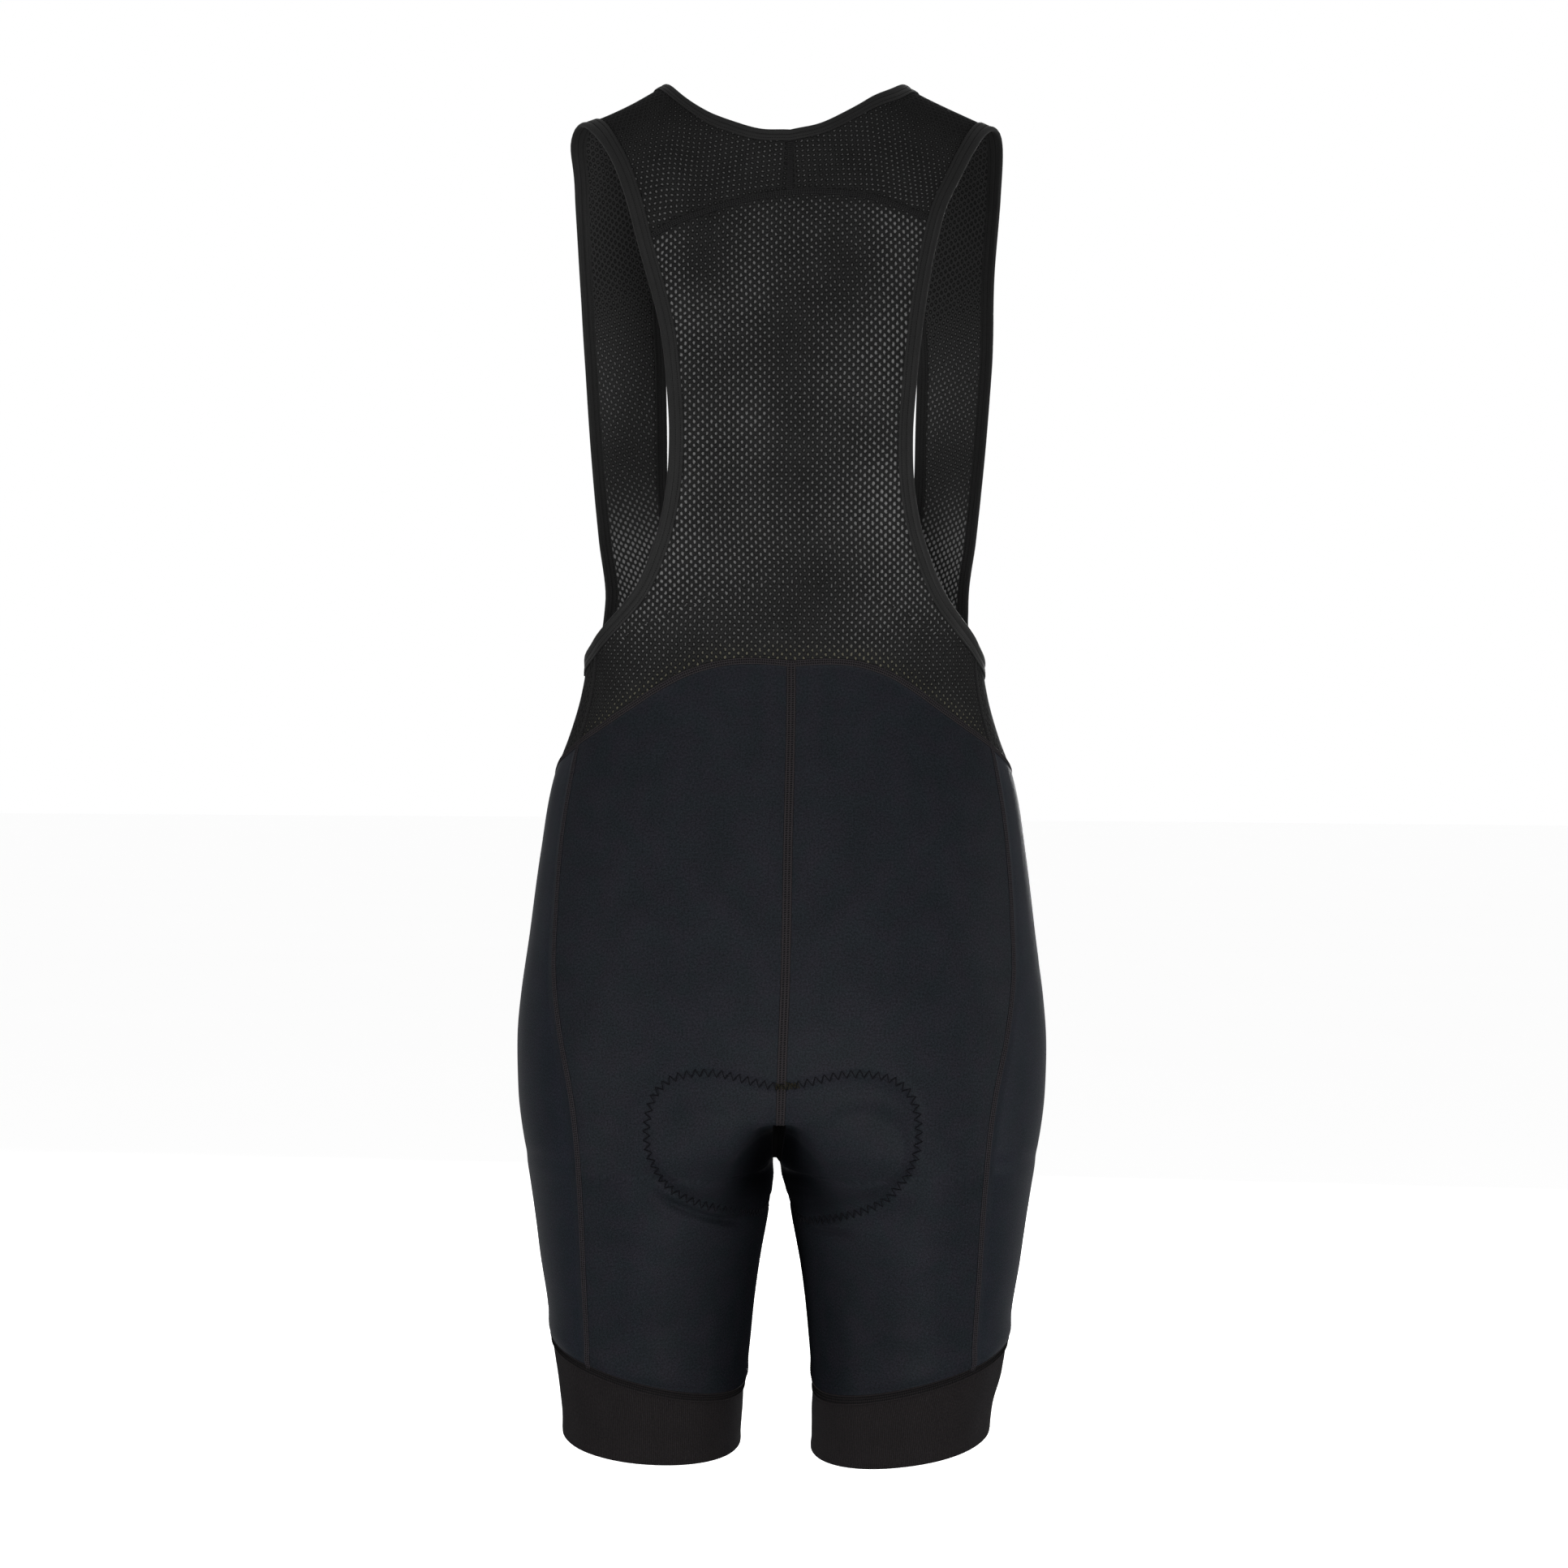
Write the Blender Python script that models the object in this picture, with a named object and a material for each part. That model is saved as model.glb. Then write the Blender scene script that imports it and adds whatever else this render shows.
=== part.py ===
"""Cycling bib shorts, hollow as worn, built from their cut pieces. For Blender 4.5.

The wearer faces -Y and their left side is +X. The origin lies midway between the two straps, at
the height where they bear on the shoulders. Sizes are in millimetres, and heights are measured
from the neck corners, the highest points of the straps. MM and HOLD_HEIGHT turn them into the
object's own metres.

Every piece of cloth lies on one figure. A place on it is a pair:
  turn  degrees round the figure: 0 at the middle, 90 at the side, 180 at the middle of the
        opposite face, and -90 or 270 on the inside of a leg;
  run   cloth length down from the shoulder ridge, positive down the back and negative down
        the front.
"""

from typing import NamedTuple

import bmesh
import bpy
import numpy as np

MM = 0.001
HOLD_HEIGHT = -17.0

CLOTH = 1.2
SEAM_GAP = 0.3
BINDING_WIDTH = 9.0
BINDING_THICKNESS = 2.4
PAD_THICKNESS = 5.0
PAD_CLEARANCE = 3.6
PAD_RIDGE = 0.3

CAP_BASE = -120.0
CAP_DROP = 150.0
CROTCH = -728.0
BACK, FRONT = 1, -1

SEAT_COLUMNS = 8
SIDE_COLUMNS = 3
FRONT_COLUMNS = 7
SIDE_SEAM_ROWS = 3
BACK_ARMHOLE_ROWS = 16
ARMHOLE_CROWDING = 1.3
SHOULDER_ROWS = 4
STRAP_ROWS = 10
STRAP_FOOT_ROWS = 5
STRAP_FOOT = -350.0
NECK_FOOT = -335.0
PAD_COLUMNS = 5


class Ring(NamedTuple):
    """One level of the figure. leg_centre is 0 on the trunk, which is one ring, and the middle of
    each leg's ring below the crotch. squareness 2 is an ellipse, and more is flatter-sided."""

    height: float
    half_width: float
    back: float
    front: float
    leg_centre: float
    squareness: float


class Place(NamedTuple):
    """A point of an outline, as seen from behind or from the front."""

    across: float
    height: float
    face: int


class PadRow(NamedTuple):
    """Half the pad's width, measured over the cloth, at a direction from the pad's pivot:
    90 is straight back, 0 straight down and -90 straight forward."""

    direction: float
    half_width: float


class Slope(NamedTuple):
    """A level cut across a leg: its height at the leg's middle, and its rise per millimetre
    outwards and backwards."""

    height: float
    outwards: float
    backwards: float


RINGS = (
    Ring(height=30, half_width=165, back=56, front=60, leg_centre=0, squareness=2.3),
    Ring(height=-70, half_width=168, back=70, front=84, leg_centre=0, squareness=2.3),
    Ring(height=-120, half_width=167, back=84, front=96, leg_centre=0, squareness=2.3),
    Ring(height=-180, half_width=164, back=91, front=104, leg_centre=0, squareness=2.3),
    Ring(height=-240, half_width=158, back=89, front=103, leg_centre=0, squareness=2.3),
    Ring(height=-300, half_width=149, back=82, front=96, leg_centre=0, squareness=2.3),
    Ring(height=-366, half_width=139, back=75, front=88, leg_centre=0, squareness=2.3),
    Ring(height=-392, half_width=135, back=74, front=86, leg_centre=0, squareness=2.3),
    Ring(height=-415, half_width=138, back=77, front=86, leg_centre=0, squareness=2.3),
    Ring(height=-440, half_width=145, back=82, front=88, leg_centre=0, squareness=2.3),
    Ring(height=-465, half_width=154, back=88, front=90, leg_centre=0, squareness=2.3),
    Ring(height=-520, half_width=164, back=101, front=94, leg_centre=0, squareness=2.3),
    Ring(height=-575, half_width=171, back=112, front=95, leg_centre=0, squareness=2.3),
    Ring(height=-615, half_width=176.4, back=117, front=94, leg_centre=1, squareness=2.3),
    Ring(height=-640, half_width=178.6, back=118, front=93, leg_centre=5, squareness=2.3),
    Ring(height=-670, half_width=178.4, back=116, front=92, leg_centre=19, squareness=2.25),
    Ring(height=-690, half_width=177.2, back=113, front=91, leg_centre=38, squareness=2.2),
    Ring(height=-705, half_width=175.2, back=110, front=90, leg_centre=58, squareness=2.2),
    Ring(height=-715, half_width=173.4, back=108, front=89, leg_centre=71, squareness=2.2),
    Ring(height=-722, half_width=172, back=106, front=88.5, leg_centre=79.5, squareness=2.15),
    Ring(height=CROTCH, half_width=171.4, back=104, front=88, leg_centre=85.7, squareness=2.15),
    Ring(height=-740, half_width=169.7, back=101, front=87, leg_centre=87, squareness=2.1),
    Ring(height=-767, half_width=165.8, back=94, front=84, leg_centre=87.3, squareness=2.1),
    Ring(height=-795, half_width=162, back=88, front=80, leg_centre=87.9, squareness=2.1),
    Ring(height=-822, half_width=157.6, back=82, front=76, leg_centre=87.5, squareness=2.1),
    Ring(height=-850, half_width=154.3, back=78, front=72.5, leg_centre=87.2, squareness=2.1),
    Ring(height=-877, half_width=150, back=74, front=69, leg_centre=86.4, squareness=2.1),
    Ring(height=-925, half_width=143.5, back=69, front=64, leg_centre=83.5, squareness=2.1),
)

# The line of the shoulders from the nape, under the neck opening, to the strap's outer edge.
NAPE = Place(across=0, height=50, face=BACK)
NECK_CORNER = Place(across=80, height=0, face=BACK)
SHOULDER_TIP = Place(across=143, height=-29, face=BACK)
NAPE_SOFTNESS = 20.0

NECKLINE = (
    Place(across=0, height=-41, face=BACK),
    Place(across=18, height=-38.5, face=BACK),
    Place(across=36, height=-31, face=BACK),
    Place(across=54, height=-20.5, face=BACK),
    Place(across=69, height=-9, face=BACK),
    NECK_CORNER,
    Place(across=84, height=-30, face=FRONT),
    Place(across=86, height=-75, face=FRONT),
    Place(across=88, height=-148, face=FRONT),
    Place(across=87, height=-222, face=FRONT),
    Place(across=84, height=-290, face=FRONT),
    Place(across=76, height=-340, face=FRONT),
    Place(across=60, height=-380, face=FRONT),
    Place(across=33, height=-406, face=FRONT),
    Place(across=0, height=-414, face=FRONT),
)

# Once round, up the back and down the front, from the lowest point at the side.
ARMHOLE = (
    Place(across=135, height=-392, face=BACK),
    Place(across=129, height=-378, face=BACK),
    Place(across=121, height=-368, face=BACK),
    Place(across=105, height=-349, face=BACK),
    Place(across=90, height=-316, face=BACK),
    Place(across=82, height=-281, face=BACK),
    Place(across=80, height=-246, face=BACK),
    Place(across=82, height=-212, face=BACK),
    Place(across=86, height=-175, face=BACK),
    Place(across=93, height=-139, face=BACK),
    Place(across=103, height=-100, face=BACK),
    Place(across=117, height=-63, face=BACK),
    Place(across=128, height=-42, face=BACK),
    Place(across=141.5, height=-28, face=BACK),
    Place(across=148, height=-68, face=FRONT),
    Place(across=143, height=-148, face=FRONT),
    Place(across=138, height=-222, face=FRONT),
    Place(across=130, height=-305, face=FRONT),
    Place(across=125, height=-350, face=FRONT),
    Place(across=128, height=-380, face=FRONT),
)

# Rows of the yoke that end at the yoke seam begin on the neckline inside this place.
YOKE_NECK = Place(across=46, height=-25, face=BACK)

# The seam between the yoke and the lower back, out to the armhole.
YOKE_SEAM = (
    Place(across=0, height=-85, face=BACK),
    Place(across=20, height=-86, face=BACK),
    Place(across=45, height=-90, face=BACK),
    Place(across=71, height=-97.5, face=BACK),
    Place(across=100, height=-111, face=BACK),
)

# The seam that joins the mesh to the shorts.
WAIST_SEAM = (
    Place(across=0, height=-394.5, face=BACK),
    Place(across=50, height=-395.5, face=BACK),
    Place(across=69, height=-402, face=BACK),
    Place(across=85, height=-411, face=BACK),
    Place(across=104, height=-424, face=BACK),
    Place(across=123, height=-437, face=BACK),
    Place(across=138, height=-447.5, face=BACK),
    Place(across=155, height=-465, face=BACK),
    Place(across=140, height=-475, face=FRONT),
    Place(across=100, height=-477, face=FRONT),
    Place(across=50, height=-469, face=FRONT),
    Place(across=0, height=-464, face=FRONT),
)
SIDE_SEAM_FOOT = Place(across=138, height=-447.5, face=BACK)
SIDE_SEAM_HEAD_TURN = 70.0

# The long seams of the shorts, behind and in front of the side panel.
SIDE_BACK_SEAM = (
    SIDE_SEAM_FOOT,
    Place(across=147.5, height=-509, face=BACK),
    Place(across=151, height=-560, face=BACK),
    Place(across=151.7, height=-600, face=BACK),
    Place(across=147.5, height=-635, face=BACK),
    Place(across=139.5, height=-675, face=BACK),
    Place(across=134.5, height=-710, face=BACK),
    Place(across=131.5, height=-758, face=BACK),
    Place(across=129.5, height=-810, face=BACK),
    Place(across=126, height=-880, face=BACK),
)
SIDE_FRONT_SEAM = (
    Place(across=141, height=-474, face=FRONT),
    Place(across=148, height=-540, face=FRONT),
    Place(across=149, height=-605, face=FRONT),
    Place(across=144, height=-660, face=FRONT),
    Place(across=136, height=-710, face=FRONT),
    Place(across=132, height=-760, face=FRONT),
    Place(across=128, height=-880, face=FRONT),
)

# Levels of the shorts' rows. Those above STRAIGHT_TOP bend up to the waist seam, and those
# below STRAIGHT_FOOT bend down to the leg band.
SHORTS_ROWS = (-395, -430, -468, -506, -545, -580, -612, -640, -665, -685, -700, -712, -721,
               CROTCH, -738, -755, -780, -808, -836, -868)
STRAIGHT_TOP = -580.0
STRAIGHT_FOOT = -780.0

BAND_SEAM = Slope(height=-862.7, outwards=0.24, backwards=-0.13)
HEM = Slope(height=-914, outwards=0.072, backwards=-0.115)
BAND_ROWS = 3

PAD_PIVOT = -600.0
PAD = (
    PadRow(direction=62, half_width=46),
    PadRow(direction=60, half_width=66),
    PadRow(direction=56, half_width=84),
    PadRow(direction=50, half_width=95),
    PadRow(direction=42, half_width=97),
    PadRow(direction=35, half_width=76),
    PadRow(direction=28, half_width=54),
    PadRow(direction=20, half_width=40),
    PadRow(direction=10, half_width=33),
    PadRow(direction=0, half_width=32),
    PadRow(direction=-10, half_width=34),
    PadRow(direction=-20, half_width=38),
    PadRow(direction=-30, half_width=44),
    PadRow(direction=-40, half_width=52),
    PadRow(direction=-48, half_width=56),
    PadRow(direction=-55, half_width=52),
    PadRow(direction=-60, half_width=40),
)


class Cloth(NamedTuple):
    """A finish: a linear colour and a roughness."""

    name: str
    colour: tuple
    roughness: float


MESH_KNIT = Cloth("mesh_knit", (0.016, 0.016, 0.016), 0.8)
STRETCH_KNIT = Cloth("stretch_knit", (0.011, 0.013, 0.018), 0.6)
RIBBED_BAND = Cloth("ribbed_band", (0.018, 0.015, 0.015), 0.85)
BINDING_TAPE = Cloth("binding_tape", (0.022, 0.022, 0.022), 0.6)
PAD_FLEECE = Cloth("pad_fleece", (0.03, 0.03, 0.035), 0.9)


class Smooth:
    """A smooth curve through rows of values. The slope at each row is that of the parabola
    through it and its two neighbours."""

    def __init__(self, stations, values):
        order = np.argsort(stations)
        self.stations = np.asarray(stations, float)[order]
        self.values = np.asarray(values, float).reshape(len(stations), -1)[order]
        step = np.diff(self.stations)[:, None]
        rise = np.diff(self.values, axis=0) / step
        inner = (rise[:-1] * step[1:] + rise[1:] * step[:-1]) / (step[:-1] + step[1:])
        first = 1.5 * rise[:1] - 0.5 * inner[:1]
        last = 1.5 * rise[-1:] - 0.5 * inner[-1:]
        self.slopes = np.concatenate([first, inner, last])

    def __call__(self, at):
        at = np.clip(np.asarray(at, float), self.stations[0], self.stations[-1])
        last = len(self.stations) - 2
        i = np.clip(np.searchsorted(self.stations, at, side="right") - 1, 0, last)
        step = (self.stations[i + 1] - self.stations[i])[..., None]
        t = (at[..., None] - self.stations[i][..., None]) / step
        return (
            (1 + 2 * t) * (1 - t) ** 2 * self.values[i]
            + t * (1 - t) ** 2 * step * self.slopes[i]
            + t * t * (3 - 2 * t) * self.values[i + 1]
            - t * t * (1 - t) * step * self.slopes[i + 1]
        )


RING_AT = Smooth([ring.height for ring in RINGS], [ring[1:] for ring in RINGS])
RIDGE = np.polyfit(
    [place.across for place in (NAPE, NECK_CORNER, SHOULDER_TIP)],
    [place.height for place in (NAPE, NECK_CORNER, SHOULDER_TIP)],
    2,
)


def ridge_height(across):
    """Height of the shoulder ridge at a distance from the middle."""
    return np.polyval(RIDGE, np.hypot(across, NAPE_SOFTNESS))


def ring_at(level):
    """half_width, back, front, leg_centre and squareness of the figure at a level."""
    width, back, front, centre, squareness = np.moveaxis(RING_AT(level), -1, 0)
    return width, back, front, np.maximum(centre, 0), squareness


def level_of(run):
    """The ring level that a cloth length from the ridge reaches."""
    return CAP_BASE + CAP_DROP - np.abs(run)


def run_of(level):
    """Cloth length down the back to a level below the shoulder cap."""
    return CAP_BASE + CAP_DROP - np.asarray(level, float)


def form(turn, run):
    """Points of the figure, in millimetres, with one more axis of length 3."""
    turn, run = np.broadcast_arrays(np.asarray(turn, float), np.asarray(run, float))
    level = level_of(run)
    width, back, front, centre, squareness = ring_at(level)
    sine, cosine = np.sin(np.radians(turn)), np.cos(np.radians(turn))
    size = (np.abs(sine) ** squareness + np.abs(cosine) ** squareness) ** (-1 / squareness)
    behind = (cosine >= 0) == (run >= 0)
    depth = np.where(behind, back, -front) * np.abs(cosine) * size
    across = centre + (width - centre) * sine * size
    tilt = np.pi / 2 * np.clip(1 - np.abs(run) / CAP_DROP, 0, 1)
    cap = CAP_BASE + (ridge_height(across) - CAP_BASE) * np.sin(tilt)
    height = np.where(tilt > 0, cap, level)
    return np.stack([across, depth * np.cos(tilt), height], -1)


def tangents(turn, run):
    """Change of the figure's point per degree of turn and per millimetre of run."""
    small = 0.05
    by_turn = (form(turn + small, run) - form(turn - small, run)) / (2 * small)
    by_run = (form(turn, run + small) - form(turn, run - small)) / (2 * small)
    return by_turn, by_run


def unit(vectors):
    """The vectors, each of length 1."""
    return vectors / np.linalg.norm(vectors, axis=-1, keepdims=True)


def normals(turn, run):
    """Outward directions of the figure."""
    return unit(np.cross(*tangents(turn, run)))


def moved(turn, run, shift):
    """The places reached by moving over the cloth by shift, a vector in millimetres."""
    by_turn, by_run = tangents(turn, run)
    aa = (by_turn * by_turn).sum(-1)
    ab = (by_turn * by_run).sum(-1)
    bb = (by_run * by_run).sum(-1)
    a, b = (by_turn * shift).sum(-1), (by_run * shift).sum(-1)
    scale = aa * bb - ab * ab
    return turn + (a * bb - b * ab) / scale, run + (b * aa - a * ab) / scale


def located(place):
    """(turn, run) of an outline point."""
    ridge = ridge_height(place.across)
    rise = (place.height - CAP_BASE) / (ridge - CAP_BASE)
    if rise > 0:
        drop = CAP_DROP * (1 - np.arcsin(min(rise, 1.0)) / (np.pi / 2))
    else:
        drop = CAP_BASE + CAP_DROP - place.height
    width, _, _, centre, squareness = ring_at(level_of(drop))
    share = min((place.across - centre) / (width - centre), 1.0)
    other = (1 - abs(share) ** squareness) ** (1 / squareness)
    return float(np.degrees(np.arctan2(share, other))), float(place.face * drop)


def round_turn(place):
    """The turn of an outline point counted from the middle of the back, on either face."""
    turn, _ = located(place)
    return turn if place.face == BACK else 180 - turn


def gradient(points, closed):
    """Direction of a line of points at each of them."""
    if closed:
        return unit(np.roll(points, -1, 0) - np.roll(points, 1, 0))
    return unit(np.gradient(points, axis=0))


class Outline:
    """A smooth line over the cloth through named places, read at lengths along it."""

    def __init__(self, places, closed=False):
        pairs = np.array([located(place) for place in places])
        if closed:
            # At the lowest point, 90 degrees round, back and front runs name the same place.
            foot = pairs[0] * (1, -1)
            pairs = np.concatenate([pairs, [foot]])
        points = form(*pairs.T)
        length = np.concatenate([[0], np.linalg.norm(np.diff(points, axis=0), axis=1).cumsum()])
        curve = Smooth(length, pairs)
        dense = curve(np.linspace(0, length[-1], 40 * len(pairs)))
        steps = np.linalg.norm(np.diff(form(*dense.T), axis=0), axis=1)
        self.dense = dense
        self.lengths = np.concatenate([[0], steps.cumsum()])

    def at(self, lengths):
        """(turn, run) at lengths along the line."""
        return np.stack([np.interp(lengths, self.lengths, column) for column in self.dense.T], -1)

    def length_where(self, test):
        """Length at the first dense point that passes test(turn, run)."""
        return self.lengths[np.argmax(test(*self.dense.T))]


def inset(pairs, distance, closed=False):
    """The line moved over the cloth to its right, as seen from outside."""
    points = form(*pairs.T)
    along = gradient(points[:-1] if closed else points, closed)
    if closed:
        along = np.concatenate([along, along[:1]])
    sideways = unit(np.cross(along, normals(*pairs.T)))
    return np.stack(moved(*pairs.T, sideways * distance), -1)


def trimmed(points, gap):
    """A grid of points with each of its four edges drawn in by gap."""
    points = points.copy()
    for flip in ((0, 1, 2), (1, 0, 2)):
        grid = points.transpose(flip)
        for edge, inner in ((0, 1), (-1, -2)):
            along = unit(np.gradient(grid[edge], axis=0))
            across = grid[inner] - grid[edge]
            across -= (across * along).sum(-1, keepdims=True) * along
            grid[edge] += unit(across) * gap
    return points


def material_of(cloth):
    """The Blender material of a finish."""
    material = bpy.data.materials.get(cloth.name) or bpy.data.materials.new(cloth.name)
    material.use_nodes = True
    shader = material.node_tree.nodes["Principled BSDF"]
    shader.inputs["Base Color"].default_value = (*cloth.colour, 1)
    shader.inputs["Roughness"].default_value = cloth.roughness
    shader.inputs["Metallic"].default_value = 0
    return material


def to_metres(points):
    """Points in the object's own frame."""
    return (points - (0, 0, HOLD_HEIGHT)) * MM


def sewn_piece(name, outside, inside, cloth, wrap=False):
    """A wall of cloth: a grid laid on the outside points, extruded to the inside points. wrap
    joins its first and last rows."""
    rows, columns = outside.shape[:2]
    wall = bmesh.new()
    bmesh.ops.create_grid(wall, x_segments=columns - 1, y_segments=rows - 1, size=0.5)
    place = wall.verts.layers.int.new("place")
    outer, inner = to_metres(outside), to_metres(inside)
    for vertex in wall.verts:
        column = round((vertex.co.x + 0.5) * (columns - 1))
        row = round((vertex.co.y + 0.5) * (rows - 1))
        vertex[place] = row * columns + column
        vertex.co = outer[row, column]
    if wrap:
        bmesh.ops.remove_doubles(wall, verts=wall.verts, dist=0.00001)
    added = bmesh.ops.extrude_face_region(wall, geom=wall.faces[:])["geom"]
    for vertex in added:
        if isinstance(vertex, bmesh.types.BMVert):
            vertex.co = inner[divmod(vertex[place], columns)]
    bmesh.ops.recalc_face_normals(wall, faces=wall.faces)
    mesh = bpy.data.meshes.new(name)
    wall.to_mesh(mesh)
    wall.free()
    mesh.shade_smooth()
    mesh.materials.append(material_of(cloth))
    GARMENT.objects.link(bpy.data.objects.new(name, mesh))


def panel(pairs):
    """The outside and inside points of a grid of places, with the seam gap at its edges."""
    turn, run = pairs[..., 0], pairs[..., 1]
    outside = trimmed(form(turn, run), SEAM_GAP / 2)
    return outside, outside - normals(turn, run) * CLOTH


def both_sides(name, walls, cloth):
    """A left piece, and its mirror image for the right. No point crosses the middle."""
    left = np.array(walls)
    left[..., 0] = np.maximum(left[..., 0], SEAM_GAP / 2)
    sewn_piece(name + "_left", *left, cloth)
    sewn_piece(name + "_right", *(left * (-1, 1, 1)), cloth)


WAIST_AT = Smooth(
    [round_turn(place) for place in WAIST_SEAM], [place.height for place in WAIST_SEAM]
)


def seam_turns(places):
    """The turn, from the middle of the back, of a long seam as a smooth line over levels."""
    return Smooth([place.height for place in places], [round_turn(place) for place in places])


def leg_cut(slope, turn):
    """Levels at which a sloped cut meets the leg at each turn."""
    level = np.full(np.shape(turn), slope.height)
    for _ in range(6):
        points = form(turn, run_of(level))
        centre = ring_at(level)[3]
        outwards = points[..., 0] - centre
        level = slope.height + slope.outwards * outwards + slope.backwards * points[..., 1]
    return level


def middle_turn(level):
    """The turn at which a ring meets the middle plane, down to the crotch, and the inside of
    the leg below it."""
    width, _, _, centre, squareness = ring_at(level)
    share = np.minimum(centre / (width - centre), 1)
    other = (1 - share**squareness) ** (1 / squareness)
    return -np.degrees(np.arctan2(share, other))


def shorts_levels(top, foot):
    """Levels of the shorts' rows in a column whose ends are at top and foot."""
    rows = np.array(SHORTS_ROWS, float)
    upper = STRAIGHT_TOP + (rows - STRAIGHT_TOP) * (top - STRAIGHT_TOP) / (rows[0] - STRAIGHT_TOP)
    lower = STRAIGHT_FOOT + (rows - STRAIGHT_FOOT) * (foot - STRAIGHT_FOOT) / (
        rows[-1] - STRAIGHT_FOOT
    )
    return np.where(rows > STRAIGHT_TOP, upper, np.where(rows < STRAIGHT_FOOT, lower, rows))


def shorts_edge(turns_at, top_turn):
    """Turns and levels of a long edge of a shorts panel, row by row. turns_at gives its turn
    at each level."""
    foot_turn = float(np.ravel(turns_at(SHORTS_ROWS[-1]))[0])
    foot = float(leg_cut(BAND_SEAM, foot_turn))
    levels = shorts_levels(float(WAIST_AT(top_turn)[0]), foot)
    return np.asarray(turns_at(levels), float).reshape(-1), levels


def shorts_panel(name, start, end, columns):
    """A panel of the shorts between two long edges."""
    share = np.linspace(0, 1, columns + 1)
    turns = start[0][:, None] * (1 - share) + end[0][:, None] * share
    tops = WAIST_AT(turns[0])[:, 0]
    feet = leg_cut(BAND_SEAM, turns[-1])
    levels = np.stack([shorts_levels(top, foot) for top, foot in zip(tops, feet)], 1)
    both_sides(name, panel(np.stack([turns, run_of(levels)], -1)), STRETCH_KNIT)
    return turns[0], turns[-1]


def build_shorts():
    """Seat, side and front panels. Returns the turns of their columns at the waist seam and at
    the leg bands."""
    back_seam = seam_turns(SIDE_BACK_SEAM)
    front_seam = seam_turns(SIDE_FRONT_SEAM)
    middle_back = shorts_edge(middle_turn, 0.0)
    middle_front = shorts_edge(lambda level: 180 - middle_turn(level), 180.0)
    side_back = shorts_edge(back_seam, round_turn(SIDE_BACK_SEAM[0]))
    side_front = shorts_edge(front_seam, round_turn(SIDE_FRONT_SEAM[0]))
    seat = shorts_panel("seat", middle_back, side_back, SEAT_COLUMNS)
    side = shorts_panel("side", side_back, side_front, SIDE_COLUMNS)
    front = shorts_panel("front", side_front, middle_front, FRONT_COLUMNS)
    waist = np.concatenate([seat[0], side[0][1:], front[0][1:]])
    legs = np.concatenate([seat[1], side[1][1:], front[1][1:]])
    return waist, legs


def build_leg_bands(turns):
    """The ribbed band round each leg, a closed tube."""
    share = np.linspace(0, 1, BAND_ROWS + 1)[:, None]
    levels = leg_cut(BAND_SEAM, turns) * (1 - share) + leg_cut(HEM, turns) * share
    outside = form(turns, run_of(levels))
    outside[0] += unit(outside[1] - outside[0]) * SEAM_GAP / 2
    inside = outside - normals(turns, run_of(levels)) * CLOTH
    tube = np.array([outside, inside]).transpose(0, 2, 1, 3)
    sewn_piece("leg_band_left", *tube, RIBBED_BAND, wrap=True)
    sewn_piece("leg_band_right", *(tube * (-1, 1, 1)), RIBBED_BAND, wrap=True)


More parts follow.
